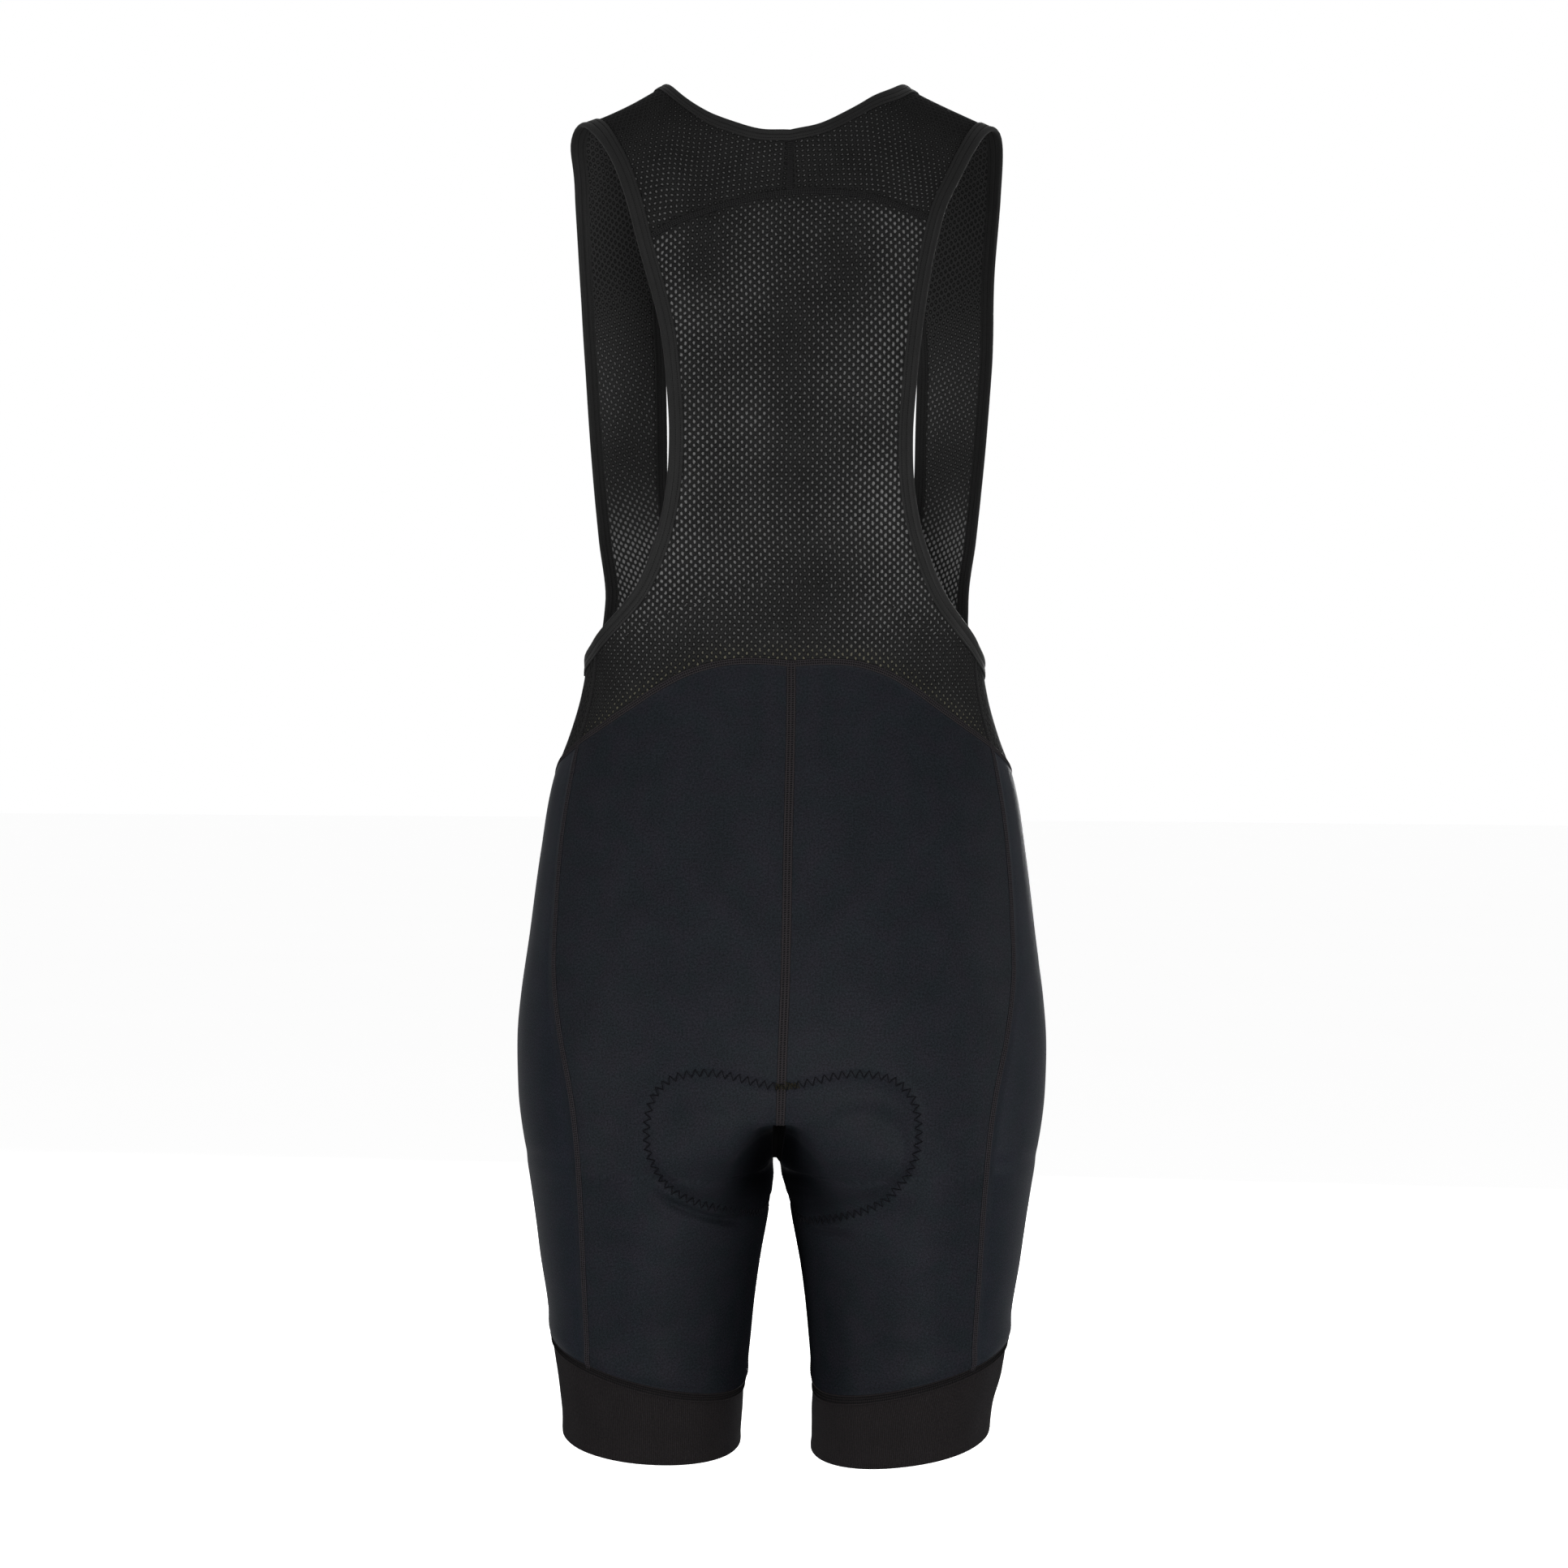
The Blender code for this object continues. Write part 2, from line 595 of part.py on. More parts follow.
class Upper:
    """The lines that the pieces above the waist share, station by station."""

    def __init__(self, waist_turns):
        armhole = Outline(ARMHOLE, closed=True)
        neck = Outline(NECKLINE)
        yoke = Outline(YOKE_SEAM)
        edge = BINDING_WIDTH + SEAM_GAP
        self.waist_turns = waist_turns

        side_head = armhole.length_where(lambda turn, run: turn < SIDE_SEAM_HEAD_TURN)
        yoke_end = armhole.length_where(lambda turn, run: run < located(YOKE_SEAM[-1])[1])
        ridge = armhole.length_where(lambda turn, run: run <= 0)
        strap_foot = armhole.length_where(lambda turn, run: run < -run_of(STRAP_FOOT))
        end = armhole.lengths[-1]
        stations = np.concatenate([
            side_head + (yoke_end - side_head) * np.linspace(0, 1, BACK_ARMHOLE_ROWS + 1) ** ARMHOLE_CROWDING,
            np.linspace(yoke_end, ridge, SHOULDER_ROWS + 1)[1:],
            np.linspace(ridge, strap_foot, STRAP_ROWS + 1)[1:],
            np.linspace(strap_foot, end, STRAP_FOOT_ROWS)[1:],
        ])
        # The last station, on the front, names the first one, on the back, again.
        loop = armhole.at(stations)
        close = np.array([[180 - loop[0, 0], -loop[0, 1]]])
        loop = np.concatenate([loop, close])
        self.armhole_outline = loop
        self.armhole_inner = inset(loop, BINDING_WIDTH, closed=True)
        armhole_edge = inset(loop, edge, closed=True)
        self.back_edge = armhole_edge[: BACK_ARMHOLE_ROWS + 1]
        self.strap_edge = armhole_edge[BACK_ARMHOLE_ROWS:]

        yoke_ends = self.back_edge[-1]
        reach = yoke.length_where(lambda turn, run: turn > yoke_ends[0])
        yoke_line = yoke.at(np.linspace(0, reach, SEAT_COLUMNS + 1))
        yoke_line += np.linspace(0, 1, SEAT_COLUMNS + 1)[:, None] ** 2 * (yoke_ends - yoke_line[-1])
        self.yoke_line = yoke_line

        back_share = neck.length_where(lambda turn, run: turn > located(YOKE_NECK)[0])
        corner = neck.length_where(lambda turn, run: run <= 0)
        neck_foot = neck.length_where(lambda turn, run: run < -run_of(NECK_FOOT))
        neck_stations = np.concatenate([
            np.linspace(0, back_share, SEAT_COLUMNS + 1),
            np.linspace(back_share, corner, SHOULDER_ROWS + 1)[1:],
            np.linspace(corner, neck_foot, STRAP_ROWS + 1)[1:],
            np.linspace(neck_foot, neck.lengths[-1], STRAP_FOOT_ROWS + 1)[1:],
        ])
        self.neck_outline = neck.at(neck_stations)
        self.neck_inner = self.on_middle(inset(self.neck_outline, -BINDING_WIDTH))
        self.neck_edge = self.on_middle(inset(self.neck_outline, -edge))

    @staticmethod
    def on_middle(pairs):
        """The line with its two ends kept on the middle plane."""
        pairs[[0, -1], 0] = 0
        return pairs


def patch(rails, last_row, weights):
    """Grid of (turn, run) between two rails, whose last row follows last_row."""
    start, end = rails
    flat = start[:, None] * (1 - weights[:, None]) + end[:, None] * weights[:, None]
    pull = np.linspace(0, 1, len(start))[:, None, None] ** 3
    return flat + pull * (last_row - flat[-1])


def build_back_mesh(upper):
    """The lower back, from the waist seam to the yoke seam, in one piece."""
    foot = np.array([round_turn(SIDE_SEAM_FOOT), run_of(SIDE_SEAM_FOOT.height)])
    share = np.linspace(0, 1, SIDE_SEAM_ROWS + 1)[:-1, None]
    side_seam = foot * (1 - share) + upper.back_edge[0] * share
    right = np.concatenate([side_seam, upper.back_edge])
    left = right * (-1, 1)
    waist = upper.waist_turns[: SEAT_COLUMNS + 1]
    waist = np.concatenate([-waist[:0:-1], waist])
    weights = (waist / waist[-1] + 1) / 2
    flat = left[:, None] * (1 - weights[:, None]) + right[:, None] * weights[:, None]
    waist_row = np.stack([waist, run_of(WAIST_AT(np.abs(waist))[:, 0])], -1)
    yoke = upper.yoke_line
    yoke_row = np.concatenate([yoke[:0:-1] * (-1, 1), yoke])
    climb = np.linspace(0, 1, len(right))[:, None, None]
    # Rows follow the waist seam at first, and meet the armhole level.
    rise = waist_row - flat[0]
    level_ended = rise[SEAT_COLUMNS] * np.sin(np.pi * weights[:, None]) ** 2
    settled = np.minimum(climb * (len(right) - 1) / SIDE_SEAM_ROWS, 1)
    rise = rise * (1 - settled) + level_ended * settled
    pairs = flat + (1 - climb) * rise + climb * (yoke_row - flat[-1])
    sewn_piece("back_mesh", *panel(pairs), MESH_KNIT)


def build_straps(upper):
    """Each strap with its half of the yoke behind and its foot in front, in one piece."""
    foot = np.array([180 - round_turn(SIDE_SEAM_FOOT), -run_of(SIDE_SEAM_FOOT.height)])
    share = np.linspace(0, 1, SIDE_SEAM_ROWS + 1)[1:, None]
    side_seam = upper.strap_edge[-1] * (1 - share) + foot * share
    outer = np.concatenate([upper.yoke_line, upper.strap_edge[1:], side_seam])
    middle = np.array([0.0, -run_of(WAIST_SEAM[-1].height)])
    front_seam = upper.neck_edge[-1] * (1 - share) + middle * share
    inner = np.concatenate([upper.neck_edge, front_seam])
    turns = upper.waist_turns[SEAT_COLUMNS:]
    waist_row = np.stack([180 - turns, -run_of(WAIST_AT(turns)[:, 0])], -1)
    weights = (turns - turns[0]) / (turns[-1] - turns[0])
    pairs = patch((outer, inner), waist_row, weights)
    both_sides("strap", panel(pairs), MESH_KNIT)


def ribbon(outline, inner):
    """The outside and inside points of a binding, from its fold to its stitched edge."""
    pairs = np.stack([outline, inner], 1)
    turn, run = pairs[..., 0], pairs[..., 1]
    outward = normals(turn, run)
    middle = form(turn, run) - outward * CLOTH / 2
    return np.array([middle + outward * BINDING_THICKNESS / 2,
                     middle - outward * BINDING_THICKNESS / 2])


def build_bindings(upper):
    """The folded tapes round the neck and the two armholes."""
    neck = ribbon(upper.neck_outline, upper.neck_inner)
    neck = np.concatenate([neck, neck[:, -2::-1] * (-1, 1, 1)], 1)
    arm = ribbon(upper.armhole_outline, upper.armhole_inner)
    sewn_piece("neck_binding", *neck, BINDING_TAPE, wrap=True)
    sewn_piece("armhole_binding_left", *arm, BINDING_TAPE, wrap=True)
    sewn_piece("armhole_binding_right", *(arm * (-1, 1, 1)), BINDING_TAPE, wrap=True)


def middle_level(direction):
    """The level at which the middle seam crosses a direction from the pad's pivot."""
    low, high = CROTCH, PAD_PIVOT - 1.0
    slope = np.tan(np.radians(abs(direction)))
    for _ in range(40):
        level = (low + high) / 2
        turn = middle_turn(np.array(level))
        depth = abs(form(turn if direction > 0 else 180 - turn, run_of(level))[1])
        low, high = (level, high) if depth < (PAD_PIVOT - level) * slope else (low, level)
    return level


def walk(direction, lengths):
    """Places at lengths from the middle seam, outwards over the cloth, in the plane through
    the pad's pivot at that direction. lengths starts at 0 and rises."""
    bearing = np.radians(direction)
    plane = np.array([0, np.cos(bearing), np.sin(bearing)])
    level = middle_level(direction) if direction else CROTCH
    turn = float(middle_turn(np.array(level)))
    turn = turn if direction >= 0 else 180 - turn
    here, heading = (turn, float(run_of(level))), np.array([0.5, 0, -1])
    found, gone, step = [], 0.0, 0.5
    for length in lengths:
        while gone < length - step / 2:
            ahead = unit(np.cross(plane, normals(*here)))
            ahead *= np.sign(ahead @ heading)
            point = form(*here)
            off = (point - (0, 0, PAD_PIVOT)) @ plane
            here = tuple(float(value) for value in moved(*here, ahead * step - plane * off))
            heading, gone = ahead, gone + step
        found.append(here)
    return np.array(found)


def build_pad():
    """The seat pad, on the inside of the crotch, one piece across both legs."""
    columns = np.linspace(0, 1, PAD_COLUMNS + 1)
    walls = []
    for row in PAD:
        pairs = walk(row.direction, columns * row.half_width)
        outward = normals(*pairs.T)
        bearing = np.radians(row.direction)
        downward = np.array([0, np.sin(bearing), -np.cos(bearing)])
        # The pad bridges the ridge that the two legs make on the middle seam.
        outward[0] = downward / max(outward[0] @ downward, PAD_RIDGE)
        on_cloth = form(*pairs.T)
        on_cloth[0, 0] = 0
        under = on_cloth - outward * (CLOTH + PAD_CLEARANCE)
        over = on_cloth - outward * (CLOTH + PAD_CLEARANCE + PAD_THICKNESS)
        over[0] = under[0] - downward * PAD_THICKNESS
        half = np.array([under, over])
        walls.append(np.concatenate([half[:, :0:-1] * (-1, 1, 1), half], 1))
    sewn_piece("seat_pad", *np.array(walls).transpose(1, 0, 2, 3), PAD_FLEECE)


for old in list(bpy.data.objects):
    bpy.data.objects.remove(old)
GARMENT = bpy.data.collections.new("bib_shorts")
bpy.context.scene.collection.children.link(GARMENT)

WAIST_TURNS, LEG_TURNS = build_shorts()
build_leg_bands(LEG_TURNS)
UPPER = Upper(WAIST_TURNS)
build_back_mesh(UPPER)
build_straps(UPPER)
build_bindings(UPPER)
build_pad()
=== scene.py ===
"""Cycling bib shorts, hollow as worn: the cloth, bindings, seams, stitches and seat pad that show.

The wearer faces -Y and their left side is +X. Sizes are in millimetres, with heights measured from
the neck corners, and MM and HOLD_HEIGHT turn them into the object's own metres.

Every piece of cloth lies on one figure. A place on it is a pair (turn, run):
  turn  degrees round the figure: 0 at the middle, 90 at the side, 180 at the middle of the
        opposite face, and -90 or 270 on the inside of a leg;
  run   cloth length down from the shoulder ridge, positive down the back and negative down
        the front.
"""

import logging
import math
from dataclasses import dataclass, field
from enum import Enum
from functools import partial
from typing import Any, Callable, ClassVar, NamedTuple, Sequence

import bpy
import numpy as np
from mathutils import Matrix, Vector


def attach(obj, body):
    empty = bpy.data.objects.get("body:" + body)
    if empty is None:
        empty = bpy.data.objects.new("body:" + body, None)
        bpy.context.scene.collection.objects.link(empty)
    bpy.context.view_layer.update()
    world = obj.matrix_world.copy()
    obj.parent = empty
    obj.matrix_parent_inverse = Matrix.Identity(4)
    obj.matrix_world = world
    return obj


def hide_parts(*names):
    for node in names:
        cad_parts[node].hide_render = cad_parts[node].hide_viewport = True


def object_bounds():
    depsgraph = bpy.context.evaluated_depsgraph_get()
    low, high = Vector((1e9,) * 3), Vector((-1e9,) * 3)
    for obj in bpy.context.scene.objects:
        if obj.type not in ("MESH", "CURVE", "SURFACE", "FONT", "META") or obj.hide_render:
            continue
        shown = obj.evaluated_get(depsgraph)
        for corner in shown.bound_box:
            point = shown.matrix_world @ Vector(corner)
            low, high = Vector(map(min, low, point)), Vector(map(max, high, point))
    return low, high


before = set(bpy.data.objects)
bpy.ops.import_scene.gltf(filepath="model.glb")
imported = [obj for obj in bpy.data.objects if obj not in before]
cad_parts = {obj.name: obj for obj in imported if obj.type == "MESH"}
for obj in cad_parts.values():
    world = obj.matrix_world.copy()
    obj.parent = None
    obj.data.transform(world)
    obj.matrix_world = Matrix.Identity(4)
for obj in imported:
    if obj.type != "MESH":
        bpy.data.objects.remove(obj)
CAD_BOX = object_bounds()

Array = np.ndarray
Adder = Callable[..., bpy.types.Node]
Look = tuple[dict[str, Any], Any]
LOG = logging.getLogger("bib_shorts")

MM = 0.001
HOLD_HEIGHT = -17.0
CLOTH = 1.2
MESH_THICKNESS = 0.5
MESH_SINK = (CLOTH - MESH_THICKNESS) / 2
SEAM_GAP = 0.2
FINE = 7
GRAIN = 0.3
BACK, FRONT = 1, -1
LEFT, RIGHT = 1, -1
SIDES = ((LEFT, "left"), (RIGHT, "right"))

CAP_BASE = -120.0
CAP_DROP = 150.0
CROTCH = -728.0
NAPE_SOFTNESS = 20.0
NECK_WIDTH = 8.2
ARMHOLE_WIDTH = 9.8
TAPE_BITE = 3.2
LEG_MIDDLE = 86.0

SEAT_COLUMNS = 8
SIDE_COLUMNS = 3
FRONT_COLUMNS = 7
SIDE_SEAM_ROWS = 3
BACK_ARMHOLE_ROWS = 16
ARMHOLE_CROWDING = 1.3
SHOULDER_ROWS = 4
STRAP_ROWS = 10
STRAP_FOOT_ROWS = 5
STRAP_FOOT = -350.0
NECK_FOOT = -335.0
STRAIGHT_TOP = -580.0
STRAIGHT_FOOT = -780.0
SIDE_SEAM_HEAD_TURN = 70.0
PAD_PIVOT = -600.0

# height, half_width, back, front, leg_centre, squareness of each level of the figure.
RINGS = (
    (30, 165, 56, 60, 0, 2.3),
    (-70, 168, 70, 84, 0, 2.3),
    (-120, 167, 84, 96, 0, 2.3),
    (-180, 164, 91, 104, 0, 2.3),
    (-240, 158, 89, 103, 0, 2.3),
    (-300, 149, 82, 96, 0, 2.3),
    (-366, 139, 75, 88, 0, 2.3),
    (-392, 135, 74, 86, 0, 2.3),
    (-415, 138, 77, 86, 0, 2.3),
    (-440, 145, 82, 88, 0, 2.3),
    (-465, 154, 88, 90, 0, 2.3),
    (-520, 164, 101, 94, 0, 2.3),
    (-575, 171, 112, 95, 0, 2.3),
    (-615, 176.4, 117, 94, 1, 2.3),
    (-640, 178.6, 118, 93, 5, 2.3),
    (-670, 178.4, 116, 92, 19, 2.25),
    (-690, 177.2, 113, 91, 38, 2.2),
    (-705, 175.2, 110, 90, 58, 2.2),
    (-715, 173.4, 108, 89, 71, 2.2),
    (-722, 172, 106, 88.5, 79.5, 2.15),
    (CROTCH, 171.4, 104, 88, 85.7, 2.15),
    (-740, 169.7, 101, 87, 87, 2.1),
    (-767, 165.8, 94, 84, 87.3, 2.1),
    (-795, 162, 88, 80, 87.9, 2.1),
    (-822, 157.6, 82, 76, 87.5, 2.1),
    (-850, 154.3, 78, 72.5, 87.2, 2.1),
    (-877, 150, 74, 69, 86.4, 2.1),
    (-925, 143.5, 69, 64, 83.5, 2.1),
)

SHORTS_ROWS = (-395, -430, -468, -506, -545, -580, -612, -638, -652, -663, -674, -686, -700,
               -712, -721, CROTCH, -736, -744, -752, -760, -768, -780, -808, -836, -868)

# direction and half_width of the seat pad's rows, from behind to the front.
PAD_ROWS = (
    (62, 46), (60, 66), (56, 84), (50, 95), (42, 97), (35, 76), (28, 54), (20, 40), (10, 33),
    (0, 32), (-10, 34), (-20, 38), (-30, 44), (-40, 52), (-48, 56), (-55, 52), (-60, 40),
)

# across and height of the line that the seat pad is sewn along, from behind, on the left.
SEWN_PLACES = (
    (0, -669.5), (17, -666.3), (32, -662.5), (46, -660.5), (61.5, -661.6), (74, -666),
    (83, -675), (87.3, -688), (88.3, -701), (86, -714.5), (79.8, -727), (70, -737.8),
    (56, -746), (40, -752), (25, -756.5), (12.6, -759),
)
SEWN_DROP = 5.0


class Place(NamedTuple):
    """A point of an outline, as seen from behind or from the front."""

    across: float
    height: float
    face: int = BACK


class Slope(NamedTuple):
    """A level cut across a leg: height at the leg's middle, and rise outwards and backwards."""

    height: float
    outwards: float
    backwards: float


def on_face(face: int, *spots: tuple[float, float]) -> tuple[Place, ...]:
    """Places of one face, from (across, height)."""
    return tuple(Place(*spot, face) for spot in spots)


NAPE = Place(0, 50)
NECK_CORNER = Place(80, 0)
SHOULDER_TIP = Place(143, -29)
NECKLINE = on_face(
    BACK, (0, -41), (18, -38.5), (36, -31), (54, -20.5), (69, -9), NECK_CORNER[:2],
) + on_face(
    FRONT, (84, -30), (86, -75), (88, -148), (87, -222), (84, -290), (76, -340),
    (60, -380), (33, -406), (0, -414),
)
ARMHOLE = on_face(
    BACK, (135, -392), (129, -378), (121, -368), (105, -349), (90, -316), (82, -281),
    (80, -246), (82, -212), (86, -175), (93, -139), (103, -100), (117, -63), (128, -42),
    (141.5, -28),
) + on_face(
    FRONT, (148, -68), (143, -148), (138, -222), (130, -305), (125, -350), (128, -380),
)
YOKE_NECK = Place(46, -25)
YOKE_SEAM = on_face(
    BACK, (0, -85), (20, -86), (45, -90), (71, -97.5), (100, -111),
)
WAIST_SEAM = on_face(
    BACK, (0, -394.5), (50, -395.5), (69, -402), (85, -411), (104, -424), (123, -437),
    (138, -447.5), (155, -465),
) + on_face(
    FRONT, (140, -475), (100, -477), (50, -469), (0, -464),
)
SIDE_SEAM_FOOT = Place(138, -447.5)
SIDE_BACK_SEAM = on_face(
    BACK, SIDE_SEAM_FOOT[:2], (147.5, -509), (151, -560), (151.7, -600), (147.5, -635),
    (139.5, -675), (134.5, -710), (131.5, -758), (129.5, -810), (126, -880),
)
SIDE_FRONT_SEAM = on_face(
    FRONT, (141, -474), (148, -540), (149, -605), (144, -660), (136, -710), (132, -760),
    (128, -880),
)
BAND_SEAM = Slope(-862.7, 0.24, -0.13)
HEM = Slope(-914, 0.072, -0.115)


def unit(vectors: Array) -> Array:
    """The vectors, each of length 1."""
    return vectors / np.maximum(np.linalg.norm(vectors, axis=-1, keepdims=True), 1e-12)


def bell(values: Array) -> Array:
    """A smooth hump: 1 at 0, and fading to nothing on both sides."""
    return np.exp(-values * values)


def ramp(values: Array, low: float, high: float) -> Array:
    """A smooth step that rises from 0 at low to 1 at high."""
    share = np.clip((values - low) / (high - low), 0, 1)
    return share * share * (3 - 2 * share)


def lengths_along(points: Array) -> Array:
    """Length along a line of points at each of them."""
    return np.concatenate([[0], np.linalg.norm(np.diff(points, axis=0), axis=1).cumsum()])


def looped(line: Array) -> Array:
    """A loop with its first row again at its end."""
    return np.concatenate([line, line[:1]])


def read(at: Any, stations: Array, rows: Array) -> Array:
    """Rows of values that stand at stations, read at other places between them."""
    return np.stack([np.interp(at, stations, column) for column in rows.T], -1)


def spread(marks: Sequence[float], counts: Sequence[int]) -> Array:
    """Stations from mark to mark, with FINE of them for each of the rows counted between."""
    parts = [
        np.linspace(low, high, count * FINE + 1)[1:]
        for low, high, count in zip(marks, marks[1:], counts)
    ]
    return np.concatenate([marks[:1], *parts])


class Smooth:
    """A smooth curve through rows of values, with each row's slope from its two neighbours."""

    def __init__(self, stations: Sequence[float], values: Sequence[Any]) -> None:
        """Reads the rows.

        Args:
            stations: where each row stands.
            values: the values there, one or more to a row.
        """
        order = np.argsort(stations)
        self.stations = np.asarray(stations, float)[order]
        self.values = np.asarray(values, float).reshape(len(stations), -1)[order]
        step = np.diff(self.stations)[:, None]
        rise = np.diff(self.values, axis=0) / step
        inner = (rise[:-1] * step[1:] + rise[1:] * step[:-1]) / (step[:-1] + step[1:])
        first = 1.5 * rise[:1] - 0.5 * inner[:1]
        last = 1.5 * rise[-1:] - 0.5 * inner[-1:]
        self.slopes = np.concatenate([first, inner, last])

    def __call__(self, at: Any) -> Array:
        """The values at each place of at, in one more axis."""
        at = np.clip(np.asarray(at, float), self.stations[0], self.stations[-1])
        last = len(self.stations) - 2
        i = np.clip(np.searchsorted(self.stations, at, side="right") - 1, 0, last)
        step = (self.stations[i + 1] - self.stations[i])[..., None]
        t = (at[..., None] - self.stations[i][..., None]) / step
        return (
            (1 + 2 * t) * (1 - t) ** 2 * self.values[i]
            + t * (1 - t) ** 2 * step * self.slopes[i]
            + t * t * (3 - 2 * t) * self.values[i + 1]
            - t * t * (1 - t) * step * self.slopes[i + 1]
        )


class Figure:
    """The form that the cloth is worn on."""

    def __init__(self) -> None:
        """Fits the smooth curves through the figure's tables."""
        self.rings = Smooth([ring[0] for ring in RINGS], [ring[1:] for ring in RINGS])
        line = (NAPE, NECK_CORNER, SHOULDER_TIP)
        self.ridge = np.polyfit([p.across for p in line], [p.height for p in line], 2)
        self.waist = Smooth(
            [self.round_turn(place) for place in WAIST_SEAM],
            [place.height for place in WAIST_SEAM],
        )

    def ridge_height(self, across: Any) -> Array:
        """Height of the shoulder ridge at a distance from the middle."""
        return np.polyval(self.ridge, np.hypot(across, NAPE_SOFTNESS))

    def ring_at(self, level: Any) -> tuple[Array, Array, Array, Array, Array]:
        """half_width, back, front, leg_centre and squareness at a level."""
        width, back, front, centre, squareness = np.moveaxis(self.rings(level), -1, 0)
        return width, back, front, np.maximum(centre, 0), squareness

    @staticmethod
    def run_of(level: Any) -> Array:
        """Cloth length down the back to a level below the shoulder cap."""
        return CAP_BASE + CAP_DROP - np.asarray(level, float)

    def form(self, turn: Any, run: Any) -> Array:
        """Points of the figure.

        Args:
            turn: degrees round it.
            run: cloth length down it.

        Returns:
            The points in millimetres, with one more axis of length 3.
        """
        turn, run = np.broadcast_arrays(np.asarray(turn, float), np.asarray(run, float))
        level = CAP_BASE + CAP_DROP - np.abs(run)
        width, back, front, centre, squareness = self.ring_at(level)
        sine, cosine = np.sin(np.radians(turn)), np.cos(np.radians(turn))
        size = (np.abs(sine) ** squareness + np.abs(cosine) ** squareness) ** (-1 / squareness)
        behind = (cosine >= 0) == (run >= 0)
        depth = np.where(behind, back, -front) * np.abs(cosine) * size
        across = centre + (width - centre) * sine * size
        tilt = np.pi / 2 * np.clip(1 - np.abs(run) / CAP_DROP, 0, 1)
        cap = CAP_BASE + (self.ridge_height(across) - CAP_BASE) * np.sin(tilt)
        height = np.where(tilt > 0, cap, level)
        return np.stack([across, depth * np.cos(tilt), height], -1)

    def tangents(self, turn: Array, run: Array) -> tuple[Array, Array]:
        """Change of the figure's point per degree of turn and per millimetre of run."""
        small = 0.05
        by_turn = (self.form(turn + small, run) - self.form(turn - small, run)) / (2 * small)
        by_run = (self.form(turn, run + small) - self.form(turn, run - small)) / (2 * small)
        return by_turn, by_run

    def normals(self, turn: Array, run: Array) -> Array:
        """Outward directions of the figure."""
        return unit(np.cross(*self.tangents(turn, run)))

    def moved(self, pairs: Array, shift: Array) -> Array:
        """The places reached by moving over the cloth.

        Args:
            pairs: where the moves start.
            shift: each move, a vector in millimetres.

        Returns:
            The pairs where the moves end.
        """
        turn, run = pairs[..., 0], pairs[..., 1]
        by_turn, by_run = self.tangents(turn, run)
        aa = (by_turn * by_turn).sum(-1)
        ab = (by_turn * by_run).sum(-1)
        bb = (by_run * by_run).sum(-1)
        a, b = (by_turn * shift).sum(-1), (by_run * shift).sum(-1)
        scale = aa * bb - ab * ab
        return np.stack([turn + (a * bb - b * ab) / scale, run + (b * aa - a * ab) / scale], -1)

    @staticmethod
    def turn_of(share: Any, squareness: Any) -> Array:
        """The turn at a share of a ring's half width."""
        other = (1 - np.abs(share) ** squareness) ** (1 / squareness)
        return np.degrees(np.arctan2(share, other))

    def located(self, place: Place) -> tuple[float, float]:
        """(turn, run) of an outline point."""
        ridge = self.ridge_height(place.across)
        rise = (place.height - CAP_BASE) / (ridge - CAP_BASE)
        drop = CAP_BASE + CAP_DROP - place.height
        if rise > 0:
            drop = CAP_DROP * (1 - np.arcsin(min(rise, 1.0)) / (np.pi / 2))
        width, _, _, centre, squareness = self.ring_at(CAP_BASE + CAP_DROP - drop)
        share = np.clip((place.across - centre) / (width - centre), -1, 1)
        return float(self.turn_of(share, squareness)), float(place.face * drop)

    def round_turn(self, place: Place) -> float:
        """The turn of an outline point counted from the middle of the back, on either face."""
        turn, _ = self.located(place)
        return turn if place.face == BACK else 180 - turn

    def turn_at(self, across: Array, level: Array, face: int) -> Array:
        """The turn, from the middle of the back, of points at distances from the middle.

        Args:
            across: their distances from the middle.
            level: their levels, below the shoulder cap.
            face: BACK or FRONT.

        Returns:
            The turns.
        """
        width, _, _, centre, squareness = self.ring_at(level)
        turn = self.turn_of(np.clip((across - centre) / (width - centre), -1, 1), squareness)
        return turn if face == BACK else 180 - turn

    def inset(self, pairs: Array, distance: Any, closed: bool = False) -> Array:
        """A line moved over the cloth.

        Args:
            pairs: the line.
            distance: how far, to its right as seen from outside.
            closed: whether its last pair names its first place again.

        Returns:
            The moved line's pairs.
        """
        along = self.along(pairs, closed)
        sideways = unit(np.cross(along, self.normals(*pairs.T)))
        return self.moved(pairs, sideways * np.asarray(distance, float).reshape(-1, 1))

    def along(self, pairs: Array, closed: bool = False) -> Array:
        """Direction of a line of pairs at each of them."""
        points = self.form(*pairs.T)
        if not closed:
            return unit(np.gradient(points, axis=0))
        points = points[:-1]
        along = unit(np.roll(points, -1, 0) - np.roll(points, 1, 0))
        return np.concatenate([along, along[:1]])

    def leg_cut(self, slope: Slope, turn: Any) -> Array:
        """Levels at which a sloped cut meets the leg at each turn."""
        level = np.full(np.shape(turn), slope.height)
        for _ in range(6):
            points = self.form(turn, self.run_of(level))
            outwards = points[..., 0] - self.ring_at(level)[3]
            level = slope.height + slope.outwards * outwards + slope.backwards * points[..., 1]
        return level

    def middle_turn(self, level: Any) -> Array:
        """The turn where a ring meets the middle plane, or the inside of the leg below it."""
        width, _, _, centre, squareness = self.ring_at(level)
        return -self.turn_of(np.minimum(centre / (width - centre), 1), squareness)

    def length_of(self, pairs: Array) -> Array:
        """Length along a line of pairs at each of them."""
        return lengths_along(self.form(*pairs.T))

